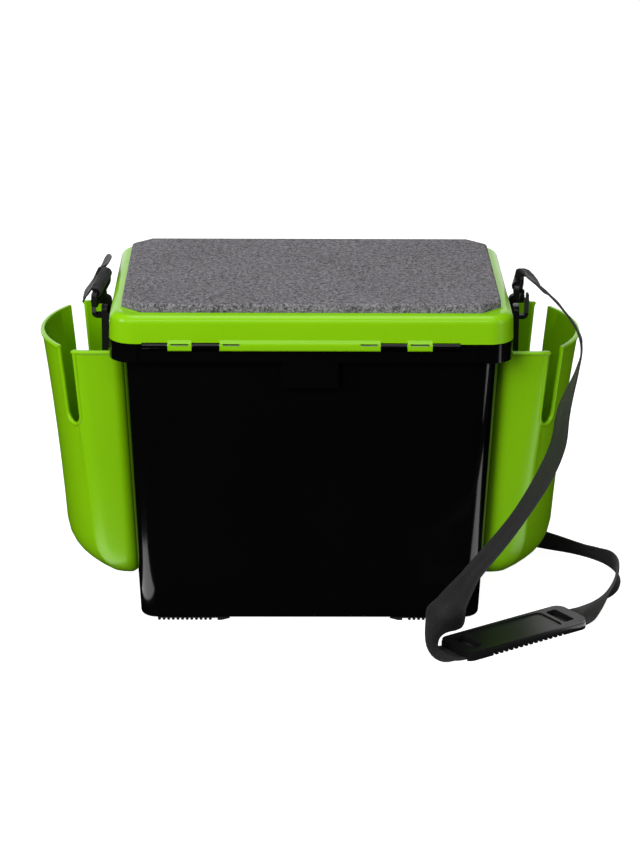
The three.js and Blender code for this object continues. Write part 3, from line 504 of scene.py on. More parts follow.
def moulding(levels):
    """A closed body through rounded rings, each given as half sizes, corner radius and height."""
    bm = bmesh.new()
    return skinned(bm, [rounded_ring(bm, *level) for level in levels])


def swept_bar(points, radius, closed=False):
    """A round bar along points."""
    data = bpy.data.curves.new("bar", "CURVE")
    data.dimensions = "3D"
    data.bevel_depth = radius
    data.bevel_resolution = 4
    data.use_fill_caps = True
    line = data.splines.new("POLY")
    line.points.add(len(points) - 1)
    for point, spot in zip(line.points, points):
        point.co = (*spot, 1)
    line.use_cyclic_u = closed
    holder = new_object("bar", data)
    drawn = holder.evaluated_get(bpy.context.evaluated_depsgraph_get())
    mesh = bpy.data.meshes.new_from_object(drawn)
    bm = bmesh.new()
    bm.from_mesh(mesh)
    bpy.data.objects.remove(holder)
    bpy.data.curves.remove(data)
    bpy.data.meshes.remove(mesh)
    bmesh.ops.remove_doubles(bm, verts=bm.verts, dist=0.001)
    bmesh.ops.recalc_face_normals(bm, faces=bm.faces)
    return bm


SHARP = math.radians(38)


def add_piece(name, bm, finish, body, nodes, soften):
    """Turns a body in millimetres into a finished piece that rides on a body of the frame; soften
    is the width of its rounded edges."""
    mesh = metre_mesh(bm, name)
    mesh.materials.append(finish.material)
    piece = new_object(name, mesh)
    if soften:
        edge = piece.modifiers.new("soft edges", "BEVEL")
        edge.width = soften * MM
        edge.segments = 2
        edge.limit_method = "ANGLE"
        edge.angle_limit = SHARP
        edge.use_clamp_overlap = True
        edge.harden_normals = True
    else:
        normals = piece.modifiers.new("even shading", "WEIGHTED_NORMAL")
        normals.keep_sharp = True
    mesh.shade_smooth()
    if not soften:
        mesh.set_sharp_from_angle(angle=SHARP)
    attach(piece, body)
    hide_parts(*nodes)
    return piece


# Tub
LID_HALF_X = 190
LID_HALF_Y = 130
LID_CORNER = 25
TUB_LOW = 3.4
TUB_EDGE_ROUND = 4
TUB_WALL = 3
TUB_ROUND_STEPS = 6
TUB_OUTER_HEIGHTS = (60, 120, 180, 230)
TUB_INNER_HEIGHTS = (150, 40)
FLOOR_CHAMFER = 3
TUB_BOTTOM = (164.5, 106, 16)
TUB_TOP = (177.5, 117.5, 20)
COLLAR_LOW = 271
COLLAR_TOP = 289.4
COLLAR_WALL = 3
COLLAR_SKIN = 1
RIB_HALF = 1
FRONT_RIBS = (-130, -75, 75, 130)
FRONT_RIB_REACH = (-128.6, -114)
SIDE_RIBS = (-75, 75)
SIDE_RIB_REACH = (176, 188.6)
SIDE_BLOCK_HALF = 27
RIB_LIFT = 0.4
OVERRUN = 2
FAR_OUT = 200

# Hinge line, front tab, snap studs and screw holes
ROD_RADIUS = 1.5
ROD_BORE = 1.7
CLIP_RADIUS = 3
CLIP_MOUTH = 1.6
CLIP_MOUTH_HIGH = 4
CLIP_WEB_RISE = 0.4
HINGE_Y = -129.2
HINGE_Z = 287.5
CLIP_SPANS = [(-157.9, -134.7), (-111.4, -86.2), (64.8, 89), (113.3, 138.5)]
KNUCKLE_GAP = 0.5
REBATE_Y = -124
REBATE_LOW = 282
STEP_BACK = 2.5
STEP_SPAN = (-162.6, 160)
TAB_SPAN = (-27.9, 25.2)
TAB_LOW = 245.7
TAB_WALL = 2.5
TAB_SLACK = 0.2
STUD_Y = 52
STUD_Z = 214
STUD_RADIUS = 4
STUD_IN = 3
STUD_OUT = 6
STUD_HEAD_RADIUS = 4.6
STUD_HEAD_LONG = 2
EAR_SCREW_Y = 20
EAR_SCREW_Z = 278.4
SCREW_HOLE_RADIUS = 2.1
SCREW_HOLE_IN = 13
SCREW_HOLE_OUT = 1


def tub_size(z):
    """Half sizes and corner radius of the tub's outside at a height."""
    share = (min(z, COLLAR_LOW) - TUB_LOW) / (COLLAR_LOW - TUB_LOW)
    return [low + (high - low) * share for low, high in zip(TUB_BOTTOM, TUB_TOP)]


def inset(sizes, depth):
    return [size - depth for size in sizes]


def tub_levels():
    """Up the outside, round the collar, and down the inside to the floor."""
    levels = []
    for step in range(TUB_ROUND_STEPS + 1):
        angle = step / TUB_ROUND_STEPS * math.pi / 2
        z = TUB_LOW + TUB_EDGE_ROUND * (1 - math.cos(angle))
        levels.append((*inset(tub_size(z), TUB_EDGE_ROUND * (1 - math.sin(angle))), z))
    for z in (*TUB_OUTER_HEIGHTS, COLLAR_LOW, COLLAR_TOP - COLLAR_WALL):
        levels.append((*tub_size(z), z))
    lid = (LID_HALF_X, LID_HALF_Y, LID_CORNER)
    levels.append((*inset(lid, COLLAR_WALL), COLLAR_TOP - COLLAR_WALL))
    levels.append((*inset(lid, COLLAR_WALL), COLLAR_LOW))
    levels.append((*lid, COLLAR_LOW))
    levels.append((*lid, COLLAR_TOP))
    for z in (COLLAR_TOP, COLLAR_LOW, *TUB_INNER_HEIGHTS, TUB_LOW + TUB_WALL + FLOOR_CHAMFER):
        levels.append((*inset(tub_size(z), TUB_WALL), z))
    floor = inset(tub_size(TUB_LOW), TUB_WALL + FLOOR_CHAMFER)
    levels.append((*floor, TUB_LOW + TUB_WALL))
    return levels


def hinge_clips():
    """Barrels round the rods with a short web to the collar, and what is cut out of them."""
    solids = []
    cutters = []
    for low, high in CLIP_SPANS:
        middle = ((low + high) / 2, HINGE_Y, HINGE_Z)
        solids.append(rod("x", CLIP_RADIUS, high - low, middle, 40))
        web_y = (HINGE_Y + (CLIP_RADIUS + ROD_BORE) / 2, REBATE_Y + OVERRUN)
        solids.append(block(low, high, *web_y, HINGE_Z - CLIP_RADIUS, HINGE_Z + CLIP_WEB_RISE))
        cutters.append(rod("x", ROD_BORE, high - low + OVERRUN, middle, 32))
        mouth_y = (HINGE_Y - CLIP_MOUTH, HINGE_Y + CLIP_MOUTH)
        mouth_z = (HINGE_Z, HINGE_Z + CLIP_MOUTH_HIGH)
        cutters.append(block(low - OVERRUN, high + OVERRUN, *mouth_y, *mouth_z))
    return solids, cutters


def collar_ribs():
    """Ribs under the collar, and a block behind each strap ear."""
    heights = (COLLAR_LOW + RIB_LIFT, COLLAR_TOP - COLLAR_SKIN)
    ribs = [block(x - RIB_HALF, x + RIB_HALF, *FRONT_RIB_REACH, *heights) for x in FRONT_RIBS]
    ribs += [block(*SIDE_RIB_REACH, y - RIB_HALF, y + RIB_HALF, *heights) for y in SIDE_RIBS]
    ribs.append(block(*SIDE_RIB_REACH, -SIDE_BLOCK_HALF, SIDE_BLOCK_HALF, *heights))
    return ribs


def front_tab(step_y):
    """The hollow tab that hangs from the collar."""
    back = -tub_size(TAB_LOW)[1] + TUB_WALL / 2
    tab = block(*TAB_SPAN, step_y, back, TAB_LOW, COLLAR_LOW + OVERRUN)
    room_x = (TAB_SPAN[0] + TAB_WALL, TAB_SPAN[1] - TAB_WALL)
    room_y = (step_y + TAB_WALL, back - TUB_WALL / 2 - TAB_SLACK)
    return cut(tab, [block(*room_x, *room_y, TAB_LOW - OVERRUN, COLLAR_LOW + OVERRUN * 2)])


def make_tub():
    tub = moulding(tub_levels())
    step_low, step_high = STEP_SPAN
    hinge_low = CLIP_SPANS[0][0] - KNUCKLE_GAP
    hinge_high = CLIP_SPANS[-1][1] + KNUCKLE_GAP
    step_y = -LID_HALF_Y + STEP_BACK
    skin_y = -LID_HALF_Y + COLLAR_SKIN
    skin_z = COLLAR_TOP - COLLAR_SKIN
    wall = COLLAR_WALL
    backing = [
        block(step_low - wall, step_high + wall, skin_y, step_y + wall, COLLAR_LOW, skin_z),
        block(hinge_low - wall, hinge_high + wall, skin_y, REBATE_Y + wall, REBATE_LOW - wall, skin_z),
    ]
    away = [
        block(step_low, step_high, -FAR_OUT, step_y, COLLAR_LOW - OVERRUN, COLLAR_TOP + OVERRUN),
        block(hinge_low, hinge_high, -FAR_OUT, REBATE_Y, REBATE_LOW, COLLAR_TOP + OVERRUN),
    ]
    tab = front_tab(step_y)
    tub = joined(tub, with_twins(backing + collar_ribs(), HALF_TURN))
    tub = cut(tub, with_twins(away, HALF_TURN))
    clips, clip_cuts = hinge_clips()
    tub = joined(tub, with_twins([tab, *clips], HALF_TURN))
    tub = cut(tub, with_twins(clip_cuts, HALF_TURN))
    face = tub_size(STUD_Z)[0]
    studs = []
    for y in (-STUD_Y, STUD_Y):
        neck = (face + (STUD_OUT - STUD_IN) / 2, y, STUD_Z)
        head = (face + (STUD_OUT - STUD_HEAD_LONG / 2), y, STUD_Z)
        studs.append(rod("x", STUD_RADIUS, STUD_IN + STUD_OUT, neck))
        studs.append(rod("x", STUD_HEAD_RADIUS, STUD_HEAD_LONG, head))
    holes = []
    for y in (-EAR_SCREW_Y, EAR_SCREW_Y):
        middle = (LID_HALF_X - (SCREW_HOLE_IN - SCREW_HOLE_OUT) / 2, y, EAR_SCREW_Z)
        holes.append(rod("x", SCREW_HOLE_RADIUS, SCREW_HOLE_IN + SCREW_HOLE_OUT, middle, 24))
    tub = joined(tub, with_twins(studs, MIRROR_X))
    tub = cut(tub, with_twins(holes, MIRROR_X))
    add_piece("tub", tub, BLACK_TUB, "box", ["box_body"], soften=0.5)


# Lid
LID_LOW = 289.7
LID_TOP = 316.3
LID_EDGE_ROUND = 8
LID_DRAFT = 0.5
LID_WALL = 2.5
LID_PLATE = 2.6
PAD_MARGIN = 12
PAD_RECESS = 0.8
PAD_CLEAR = 0.4
PAD_CHAMFER = 19
RIM_WIDE = 1.7
RIM_HIGH = 0.5
TONGUE_GAP = 0.7
TONGUE_WALL = 2
TONGUE_LOW = 284.5
LID_ROUND_STEPS = 10
LID_RIB_HIGH = 8
LID_RIBS_ALONG = (-40, 40)
LID_RIBS_ACROSS = (-90, 0, 90)
LID_RIB_REACH = (172, 112.5)
KNUCKLE_FRONT = 2.9
KNUCKLE_LOW = 4.6
KNUCKLE_RISE = 6
KNUCKLE_TOP = (0.8, 1.7)
KNUCKLE_ROUNDS = (0, 1.2, 1.9, 1.9, 0, 0)
ROD_IN_STRIP = 19
SEAM_HIGH = 2.2
SEAM_END = 3
SEAM_STOP = 18.5
SEAM_DEEP = 6
CLIP_ROOM_BACK = 3.4
CLIP_ROOM_HIGH = 1.3


def seat_outline(grow):
    """Corners of the seat pad's outline: a rectangle with its corners cut off."""
    x = LID_HALF_X - PAD_MARGIN + grow
    y = LID_HALF_Y - PAD_MARGIN + grow
    chamfer = PAD_CHAMFER + grow * (2 - math.sqrt(2))
    half = [(x, -y + chamfer), (x, y - chamfer), (x - chamfer, y), (-x + chamfer, y)]
    return half + [(-a, -b) for a, b in half]


def make_knuckles():
    """Green stretches that wrap the rods between the clips, and what is cut out for rods and clips."""
    solids = []
    cutters = []
    front = HINGE_Y - KNUCKLE_FRONT
    back = HINGE_Y + KNUCKLE_FRONT
    bottom = HINGE_Z - KNUCKLE_LOW
    top = HINGE_Z + KNUCKLE_RISE
    corners = [
        (HINGE_Y - KNUCKLE_TOP[0], top), (front, LID_LOW), (front, bottom),
        (back, bottom), (back, LID_LOW), (HINGE_Y + KNUCKLE_TOP[1], top),
    ]
    seam_low = HINGE_Z + ROD_RADIUS / 2
    seam = (HINGE_Y - SEAM_DEEP, HINGE_Y, seam_low, seam_low + SEAM_HIGH)
    for index, (first, second) in enumerate(zip(CLIP_SPANS, CLIP_SPANS[1:])):
        low = first[1] + KNUCKLE_GAP
        high = second[0] - KNUCKLE_GAP
        solids.append(prism(corners, "x", low, high, KNUCKLE_ROUNDS))
        if index == 1:
            for start, sign in ((low, 1), (high, -1)):
                middle = start + sign * (ROD_IN_STRIP - OVERRUN) / 2
                cutters.append(rod("x", ROD_BORE, ROD_IN_STRIP + OVERRUN, (middle, HINGE_Y, HINGE_Z)))
                ends = sorted((start + sign * SEAM_END, start + sign * SEAM_STOP))
                cutters.append(block(*ends, *seam))
        else:
            middle = ((low + high) / 2, HINGE_Y, HINGE_Z)
            cutters.append(rod("x", ROD_BORE, high - low + OVERRUN, middle))
            cutters.append(block(low + SEAM_END, high - SEAM_END, *seam))
    room = (-FAR_OUT, HINGE_Y + CLIP_ROOM_BACK, LID_LOW - OVERRUN, LID_LOW + CLIP_ROOM_HIGH)
    for low, high in CLIP_SPANS:
        cutters.append(block(low - KNUCKLE_GAP, high + KNUCKLE_GAP, *room))
    return solids, cutters


def lid_ribs(under):
    """Ribs under the lid's plate."""
    along, across = LID_RIB_REACH
    heights = (under - LID_RIB_HIGH, under + 1)
    ribs = [block(-along, along, y - RIB_HALF, y + RIB_HALF, *heights) for y in LID_RIBS_ALONG]
    return ribs + [block(x - RIB_HALF, x + RIB_HALF, -across, across, *heights) for x in LID_RIBS_ACROSS]


def make_lid():
    lid = (LID_HALF_X, LID_HALF_Y, LID_CORNER)
    levels = [(*lid, LID_LOW), (*inset(lid, LID_DRAFT), LID_TOP - LID_EDGE_ROUND)]
    for step in range(1, LID_ROUND_STEPS + 1):
        angle = step / LID_ROUND_STEPS * math.pi / 2
        depth = LID_DRAFT + LID_EDGE_ROUND * (1 - math.cos(angle))
        levels.append((*inset(lid, depth), LID_TOP - LID_EDGE_ROUND * (1 - math.sin(angle))))
    cap = moulding(levels)
    under = LID_TOP - PAD_RECESS - LID_PLATE
    hollow = moulding([
        (*inset(lid, LID_WALL), LID_LOW - OVERRUN),
        (*inset(lid, LID_WALL + LID_DRAFT), LID_TOP - LID_EDGE_ROUND),
        (*inset(lid, LID_WALL + LID_EDGE_ROUND / 2), under),
    ])
    rim = prism(seat_outline(PAD_CLEAR + RIM_WIDE), "z", LID_TOP - 1, LID_TOP + RIM_HIGH)
    recess = prism(seat_outline(PAD_CLEAR), "z", LID_TOP - PAD_RECESS, LID_TOP + OVERRUN)
    cap = cut(joined(cap, [rim]), [hollow, recess])

    mouth = inset(tub_size(COLLAR_LOW), TUB_WALL + TONGUE_GAP)
    inner = inset(mouth, TONGUE_WALL)
    tongue = moulding([(*mouth, TONGUE_LOW), (*mouth, under + 1)])
    tongue = cut(tongue, [moulding([(*inner, TONGUE_LOW - OVERRUN), (*inner, under + OVERRUN * 2)])])
    knuckles, cutters = make_knuckles()
    cap = joined(cap, [tongue, *lid_ribs(under), *with_twins(knuckles, HALF_TURN)])
    cap = cut(cap, with_twins(cutters, HALF_TURN))
    add_piece("lid", cap, LIME, "lid", ["lid_shell"], soften=0.45)


# Seat pad
PAD_THICK = 9.5
PAD_ROUND = 2.6
PAD_CORNER_ROUND = 2.5


def make_seat():
    low = LID_TOP - PAD_RECESS
    bm = prism(seat_outline(0), "z", low, low + PAD_THICK, [PAD_CORNER_ROUND] * 8, 5)
    top = max(bm.faces, key=lambda face: face.calc_center_median().z)
    bmesh.ops.bevel(
        bm, geom=list(top.edges), offset=PAD_ROUND, offset_type="OFFSET", segments=6, profile=0.5,
        affect="EDGES", material=-1, clamp_overlap=True,
    )
    seat = add_piece("seat_foam", bm, FOAM, "lid", ["seat_pad"], soften=0)


# Hinge rods
RODS = {
    "hinge_rod_front_left": ((-157.3, -67.1), -1, "front_rods"),
    "hinge_rod_front_right": ((45.7, 137.9), -1, "front_rods"),
    "hinge_rod_rear_left": ((-137.9, -45.7), 1, "lid"),
    "hinge_rod_rear_right": ((67.1, 157.3), 1, "lid"),
}


def make_hinge_rods():
    for name, ((low, high), side, body) in RODS.items():
        bm = rod("x", ROD_RADIUS, high - low, ((low + high) / 2, -side * HINGE_Y, HINGE_Z), 24)
        add_piece(name + "_wire", bm, STEEL, body, [name], soften=0.3)


# Side pockets
POCKET_FLOOR = 34
POCKET_RIM = 269
POCKET_WALL = 2.5
POCKET_LOW = (239, 77)
POCKET_TOP = (262, 86)
POCKET_NOSE = 35
NOSE_SHARE = 0.6
POCKET_END_ROUND = 40
POCKET_SIDE_ROUND = 20
POCKET_BACK_ROUND = 8
POCKET_FRONT_CORNER = 11
POCKET_BACK_CORNER = 12
POCKET_ARC_STEPS = 28
POCKET_GAP = 1
FLARE_SHARE = 0.45
BOTTOM_SHARES = (0, 0.012, 0.04, 0.09, 0.16, 0.26, 0.38, 0.52, 0.7, 1)
SIDE_SHARES = (0.28, 0.42, 0.56, 0.7, 0.85, 1)
SLOT_WIDE = 20
SLOT_LOW = 192
SLOT_HALF_DEEP = 25
SLOT_PLACE = (235, -77)
SLOT_STAND = Matrix.Translation((*SLOT_PLACE, 0)) @ Matrix.Rotation(math.radians(53.7), 4, "Z")
BEAD_RADIUS = 2.1
BEAD_DEPTH = 0.9
BEAD_STEP = 2
NOTCH_LOW = 236
NOTCH_HALF = 20
NOTCH_DEEP = 12
STUD_HOLE_RADIUS = 5.2
STUD_HOLE_LONG = 12
STUD_HOLE_OUT = 3
BEAD_SPREAD = 0.55
BEAD_SINK = 0.7
BEAD_TO_TUB = 0.4
ABOVE_RIM = 6
RAY_REACH = 60


def rounded_in(height, radius):
    """How far a rounded lower edge draws a wall in, at a height above the floor."""
    if height >= radius:
        return 0
    return radius - math.sqrt(radius ** 2 - (radius - height) ** 2)


def pocket_level(bm, z, wall, top=None):
    """One level of a pocket: straight front and back, and a flat arc at the outer end."""
    share = (z - POCKET_FLOOR) / (POCKET_RIM - POCKET_FLOOR)
    flare = share + (share * share - share) * FLARE_SHARE
    height = max(z - POCKET_FLOOR - wall, 0)
    parts = zip(POCKET_LOW, POCKET_TOP, (flare, share))
    reach, half = (low + (high - low) * part for low, high, part in parts)
    reach -= wall + rounded_in(height, POCKET_END_ROUND - wall)
    half -= wall + rounded_in(height, POCKET_SIDE_ROUND - wall)
    inside = tub_size(z)[0] + POCKET_GAP + wall + rounded_in(height, POCKET_BACK_ROUND - wall)
    nose = min(POCKET_NOSE, (reach - inside) * NOSE_SHARE)
    bend = reach - nose
    radius = (nose ** 2 + half ** 2) / (2 * nose)
    level = z if top is None else top
    before = set(bm.faces)
    start = bm.verts.new((bend, -half, level))
    spun = bmesh.ops.spin(
        bm, geom=[start], cent=(reach - radius, 0, level), axis=(0, 0, 1), dvec=(0, 0, 0),
        angle=2 * math.asin(half / radius), steps=POCKET_ARC_STEPS, use_merge=False,
    )
    end = next(part for part in spun["geom_last"] if isinstance(part, bmesh.types.BMVert))
    corners = [start, bm.verts.new((inside, -half, level)), bm.verts.new((inside, half, level)), end]
    for first, second in zip(corners, corners[1:]):
        bm.edges.new((first, second))
    ring = [start]
    loop = list(start.link_edges)[:1]
    while True:
        follow = loop[-1].other_vert(ring[-1])
        if follow is start:
            break
        ring.append(follow)
        loop.append(next(edge for edge in follow.link_edges if edge not in loop))
    bm.faces.new(ring)
    back_round = min(POCKET_BACK_CORNER, (bend - inside) / 2)
    corner_rounds = (POCKET_FRONT_CORNER, back_round, back_round, POCKET_FRONT_CORNER)
    for corner, radius in zip(corners, corner_rounds):
        bmesh.ops.bevel(
            bm, geom=[corner], offset=radius, offset_type="OFFSET", segments=8, profile=0.5,
            affect="VERTICES", material=-1, clamp_overlap=False,
        )
    return next(face for face in bm.faces if face not in before)


def pocket_body(wall, top=None):
    """A pocket's outside, or what fills it at a wall's depth, which may reach past the rim to top."""
    bm = bmesh.new()
    low = POCKET_FLOOR + wall
    depth = POCKET_END_ROUND - wall
    heights = [low + share * depth for share in BOTTOM_SHARES]
    heights += [POCKET_FLOOR + share * (POCKET_RIM - POCKET_FLOOR) for share in SIDE_SHARES]
    levels = [pocket_level(bm, z, wall) for z in heights]
    if top:
        levels.append(pocket_level(bm, POCKET_RIM, wall, top))
    return skinned(bm, levels)


def slot_outline(margin, steps=12):
    """Across and height of the slot's edge, from one top corner round to the other."""
    half = SLOT_WIDE / 2 + margin
    middle = SLOT_LOW + SLOT_WIDE / 2
    angles = [math.pi + step / steps * math.pi for step in range(steps + 1)]
    arc = [(half * math.cos(angle), middle + half * math.sin(angle)) for angle in angles]
    return [(-half, POCKET_RIM), *arc, (half, POCKET_RIM)]


def slot_cutter():
    outline = slot_outline(0)
    outline[0] = (outline[0][0], POCKET_RIM + OVERRUN)
    outline[-1] = (outline[-1][0], POCKET_RIM + OVERRUN)
    return moved(prism(outline, "y", -SLOT_HALF_DEEP, SLOT_HALF_DEEP), SLOT_STAND)


def slot_bead_path():
    """A line round a slot's edge, in the middle of the wall."""
    middle = pocket_body(BEAD_DEPTH, POCKET_RIM + ABOVE_RIM)
    tree = BVHTree.FromBMesh(middle)
    middle.free()
    inward = SLOT_STAND.to_3x3() @ Vector((0, 1, 0))
    outline = slot_outline(BEAD_RADIUS * BEAD_SPREAD, 20)
    fine = []
    for (a, z), (b, next_z) in zip(outline, outline[1:]):
        count = max(1, round(math.hypot(b - a, next_z - z) / BEAD_STEP))
        fine += [(a + (b - a) * step / count, z + (next_z - z) * step / count) for step in range(count)]
    fine.append(outline[-1])
    path = []
    for across, z in fine:
        spot = SLOT_STAND @ Vector((across, 0, min(z, POCKET_RIM - BEAD_RADIUS * BEAD_SINK)))
        path.append(tree.ray_cast(spot - inward * RAY_REACH, inward)[0])
    return path


def rim_bead_path():
    """A line round the rim, in the middle of the wall, that keeps clear of the tub."""
    rim_z = POCKET_RIM - BEAD_RADIUS
    ring = bmesh.new()
    level = pocket_level(ring, POCKET_RIM, BEAD_DEPTH, rim_z)
    nearest = tub_size(POCKET_RIM)[0] + POCKET_GAP + BEAD_RADIUS - BEAD_TO_TUB
    path = [Vector((max(vert.co.x, nearest), vert.co.y, rim_z)) for vert in level.verts]
    ring.free()
    return path


def make_pocket(name, side):
    pocket = cut(pocket_body(0), [pocket_body(POCKET_WALL, POCKET_RIM + OVERRUN)])
    pocket = joined(pocket, [swept_bar(rim_bead_path(), BEAD_RADIUS, closed=True)])
    pocket = cut(pocket, [slot_cutter(), moved(slot_cutter(), MIRROR_Y)])
    slot = slot_bead_path()
    rear = [Vector((spot.x, -spot.y, spot.z)) for spot in slot]
    pocket = joined(pocket, [swept_bar(slot, BEAD_RADIUS), swept_bar(rear, BEAD_RADIUS)])
    notch_x = (tub_size(NOTCH_LOW)[0] - OVERRUN, tub_size(COLLAR_LOW)[0] + NOTCH_DEEP)
    notch = block(*notch_x, -NOTCH_HALF, NOTCH_HALF, NOTCH_LOW, POCKET_RIM + ABOVE_RIM)
    hole_x = tub_size(STUD_Z)[0] + STUD_HOLE_OUT
    holes = [rod("x", STUD_HOLE_RADIUS, STUD_HOLE_LONG, (hole_x, y, STUD_Z)) for y in (-STUD_Y, STUD_Y)]
    pocket = cut(pocket, [notch, *holes])
    if side < 0:
        pocket = moved(pocket, MIRROR_X)
    add_piece(name + "_shell", pocket, LIME, name, [name], soften=0.35)


# Strap ears and their screws
EAR_IN = 197.5
EAR_OUT = 203
EAR_HALF = 14
EAR_TOP = 291
EAR_LOW = 242
EAR_ROUND = 4
EAR_SLOT = (276, 285)
EAR_SLOT_HALF = 6.5
EAR_WEB = 2.5
EAR_WEB_TOP = 284
EAR_WEB_IN = 193
EAR_WEB_RISE = 8
EAR_BEND = 194
EAR_FOOT_LOW = 271.8
EAR_FOOT_TOP = 285
EAR_FOOT_HALF = 26
EAR_FOOT_THICK = 2.7
SEAT_GAP = 0.3
SCREW_HEAD_RADIUS = 3.6
SCREW_HEAD_TIP = 2.7
SCREW_HEAD_THICK = 2
SCREW_RADIUS = 1.8
SCREW_LONG = 12
SCREW_CENTRE = 5.7
CROSS_HALF_LONG = 2
CROSS_HALF_WIDE = 0.45


def make_ear(label, side):
    plate = rounded_plate("x", EAR_HALF, EAR_LOW, EAR_TOP, EAR_IN, EAR_OUT, EAR_ROUND)
    slot = rounded_plate("x", EAR_SLOT_HALF, *EAR_SLOT, EAR_IN - 1, EAR_OUT + 1, EAR_ROUND)
    foot_in = LID_HALF_X + SEAT_GAP
    parts = []
    for sign in (-1, 1):
        web = sorted((sign * (EAR_HALF - EAR_WEB), sign * EAR_HALF))
        parts.append(block(EAR_WEB_IN, EAR_IN + 1, *web, EAR_LOW + EAR_WEB_RISE, EAR_WEB_TOP))
        parts.append(block(foot_in, EAR_BEND, *web, EAR_FOOT_LOW, EAR_WEB_TOP))
        reach = sorted((sign * (EAR_HALF - EAR_WEB), sign * EAR_FOOT_HALF))
        foot = block(foot_in, foot_in + EAR_FOOT_THICK, *reach, EAR_FOOT_LOW, EAR_FOOT_TOP)
        hole = rod("x", SCREW_HOLE_RADIUS, 10, (foot_in, sign * EAR_SCREW_Y, EAR_SCREW_Z), 24)
        parts.append(cut(foot, [hole]))
    ear = cut(joined(plate, parts), [slot])
    if side < 0:
        ear = moved(ear, MIRROR_X)
    add_piece(f"ear_{label}", ear, NYLON, "box", [f"strap_ear_{label}"], soften=0.5)


def make_ear_screw(label, side, place, y):
    """A cross-head screw that sits on an ear's foot."""
    head_in = LID_HALF_X + SEAT_GAP * 2 + EAR_FOOT_THICK
    middle = (head_in + SCREW_HEAD_THICK / 2, y, EAR_SCREW_Z)
    head = rod("x", SCREW_HEAD_RADIUS, SCREW_HEAD_THICK, middle, 32, tip=SCREW_HEAD_TIP)
    shank = rod("x", SCREW_RADIUS, SCREW_LONG, (head_in - SCREW_CENTRE, y, EAR_SCREW_Z), 20)
    recess = [
        block(head_in + 1, head_in + 3, y - wide, y + wide, EAR_SCREW_Z - high, EAR_SCREW_Z + high)
        for wide, high in ((CROSS_HALF_LONG, CROSS_HALF_WIDE), (CROSS_HALF_WIDE, CROSS_HALF_LONG))
    ]
    screw = cut(joined(head, [shank]), recess)
    if side < 0:
        screw = moved(screw, MIRROR_X)
    node = f"ear_screw_{label}_{place}"
    add_piece(node + "_head", screw, STEEL, "box", [node], soften=0.15)


# Snap hooks: a body round a window, a sprung gate with a thumb lever on its outer side, and a loop
# for the webbing that turns on the neck
HOOK_IN = 193
HOOK_OUT = 213
HOOK_HALF = 3
HOOK_BAR = 2
HOOK_WIRE = 4
HOOK_WINDOW = 15
HOOK_TOP = 23
HOOK_ROUNDS = (6, 6, 6, 6)
HOOK_WINDOW_ROUNDS = (2, 0.5, 0.5, 2)
HOOK_CUT_HALF = 6
GRIP_LINES = 5
GRIP_LOW = 3
GRIP_PITCH = 2.6
GRIP_HALF_LONG = 3
GRIP_HALF_WIDE = 0.5
GRIP_HALF_HIGH = 0.45
GRIP_TURN = 0.7
NECK_X = 203
NECK_RADIUS = 3
NECK_LONG = 8
NECK_RISE = 1.5
NECK_HEAD_RADIUS = 4.6
NECK_HEAD_TIP = 3.6
NECK_HEAD_LONG = 1.8
NECK_HEAD_RISE = 5.5
GATE_X = HOOK_OUT - HOOK_WIRE / 2
GATE_LOW = 4.5
GATE_PIVOT = 16.4
GATE_GAP = 0.4
GATE_EYE = 2.6
GATE_ROUNDS = (0.8, 0.8, 0, 0)
PIN_RADIUS = 1.1
PIN_PROUD = 0.35
LEVER_TOP = 24
LEVER_THICK = 3
LEVER_ROUNDS = (0, 0, 1.4, 1.2)
LEVER_GRIP = (16.6, 17.8, 19)
LEVER_GRIP_WIDE = 0.6
LEVER_GRIP_DEEP = 0.4
LOOP_LOW = HOOK_TOP + SEAT_GAP
LOOP_DEEP = 16
LOOP_HIGH = LOOP_LOW + LOOP_DEEP
LOOP_HALF = 24.5
LOOP_HALF_THICK = 2.5
BOSS_RADIUS = 5.6
BOSS_BORE = 3.3
BOSS_LONG = 4
HOOK_POSES = {
    "left": (-1, math.radians(18), math.radians(-14)),
    "right": (1, math.radians(4), math.radians(-10)),
}


def upright(x_low, x_high, z_low, z_high, half, rounds):
    """A plate that stands across the hook, with its own radius at each corner."""
    return prism(rectangle(x_low, x_high, z_low, z_high), "y", -half, half, rounds)


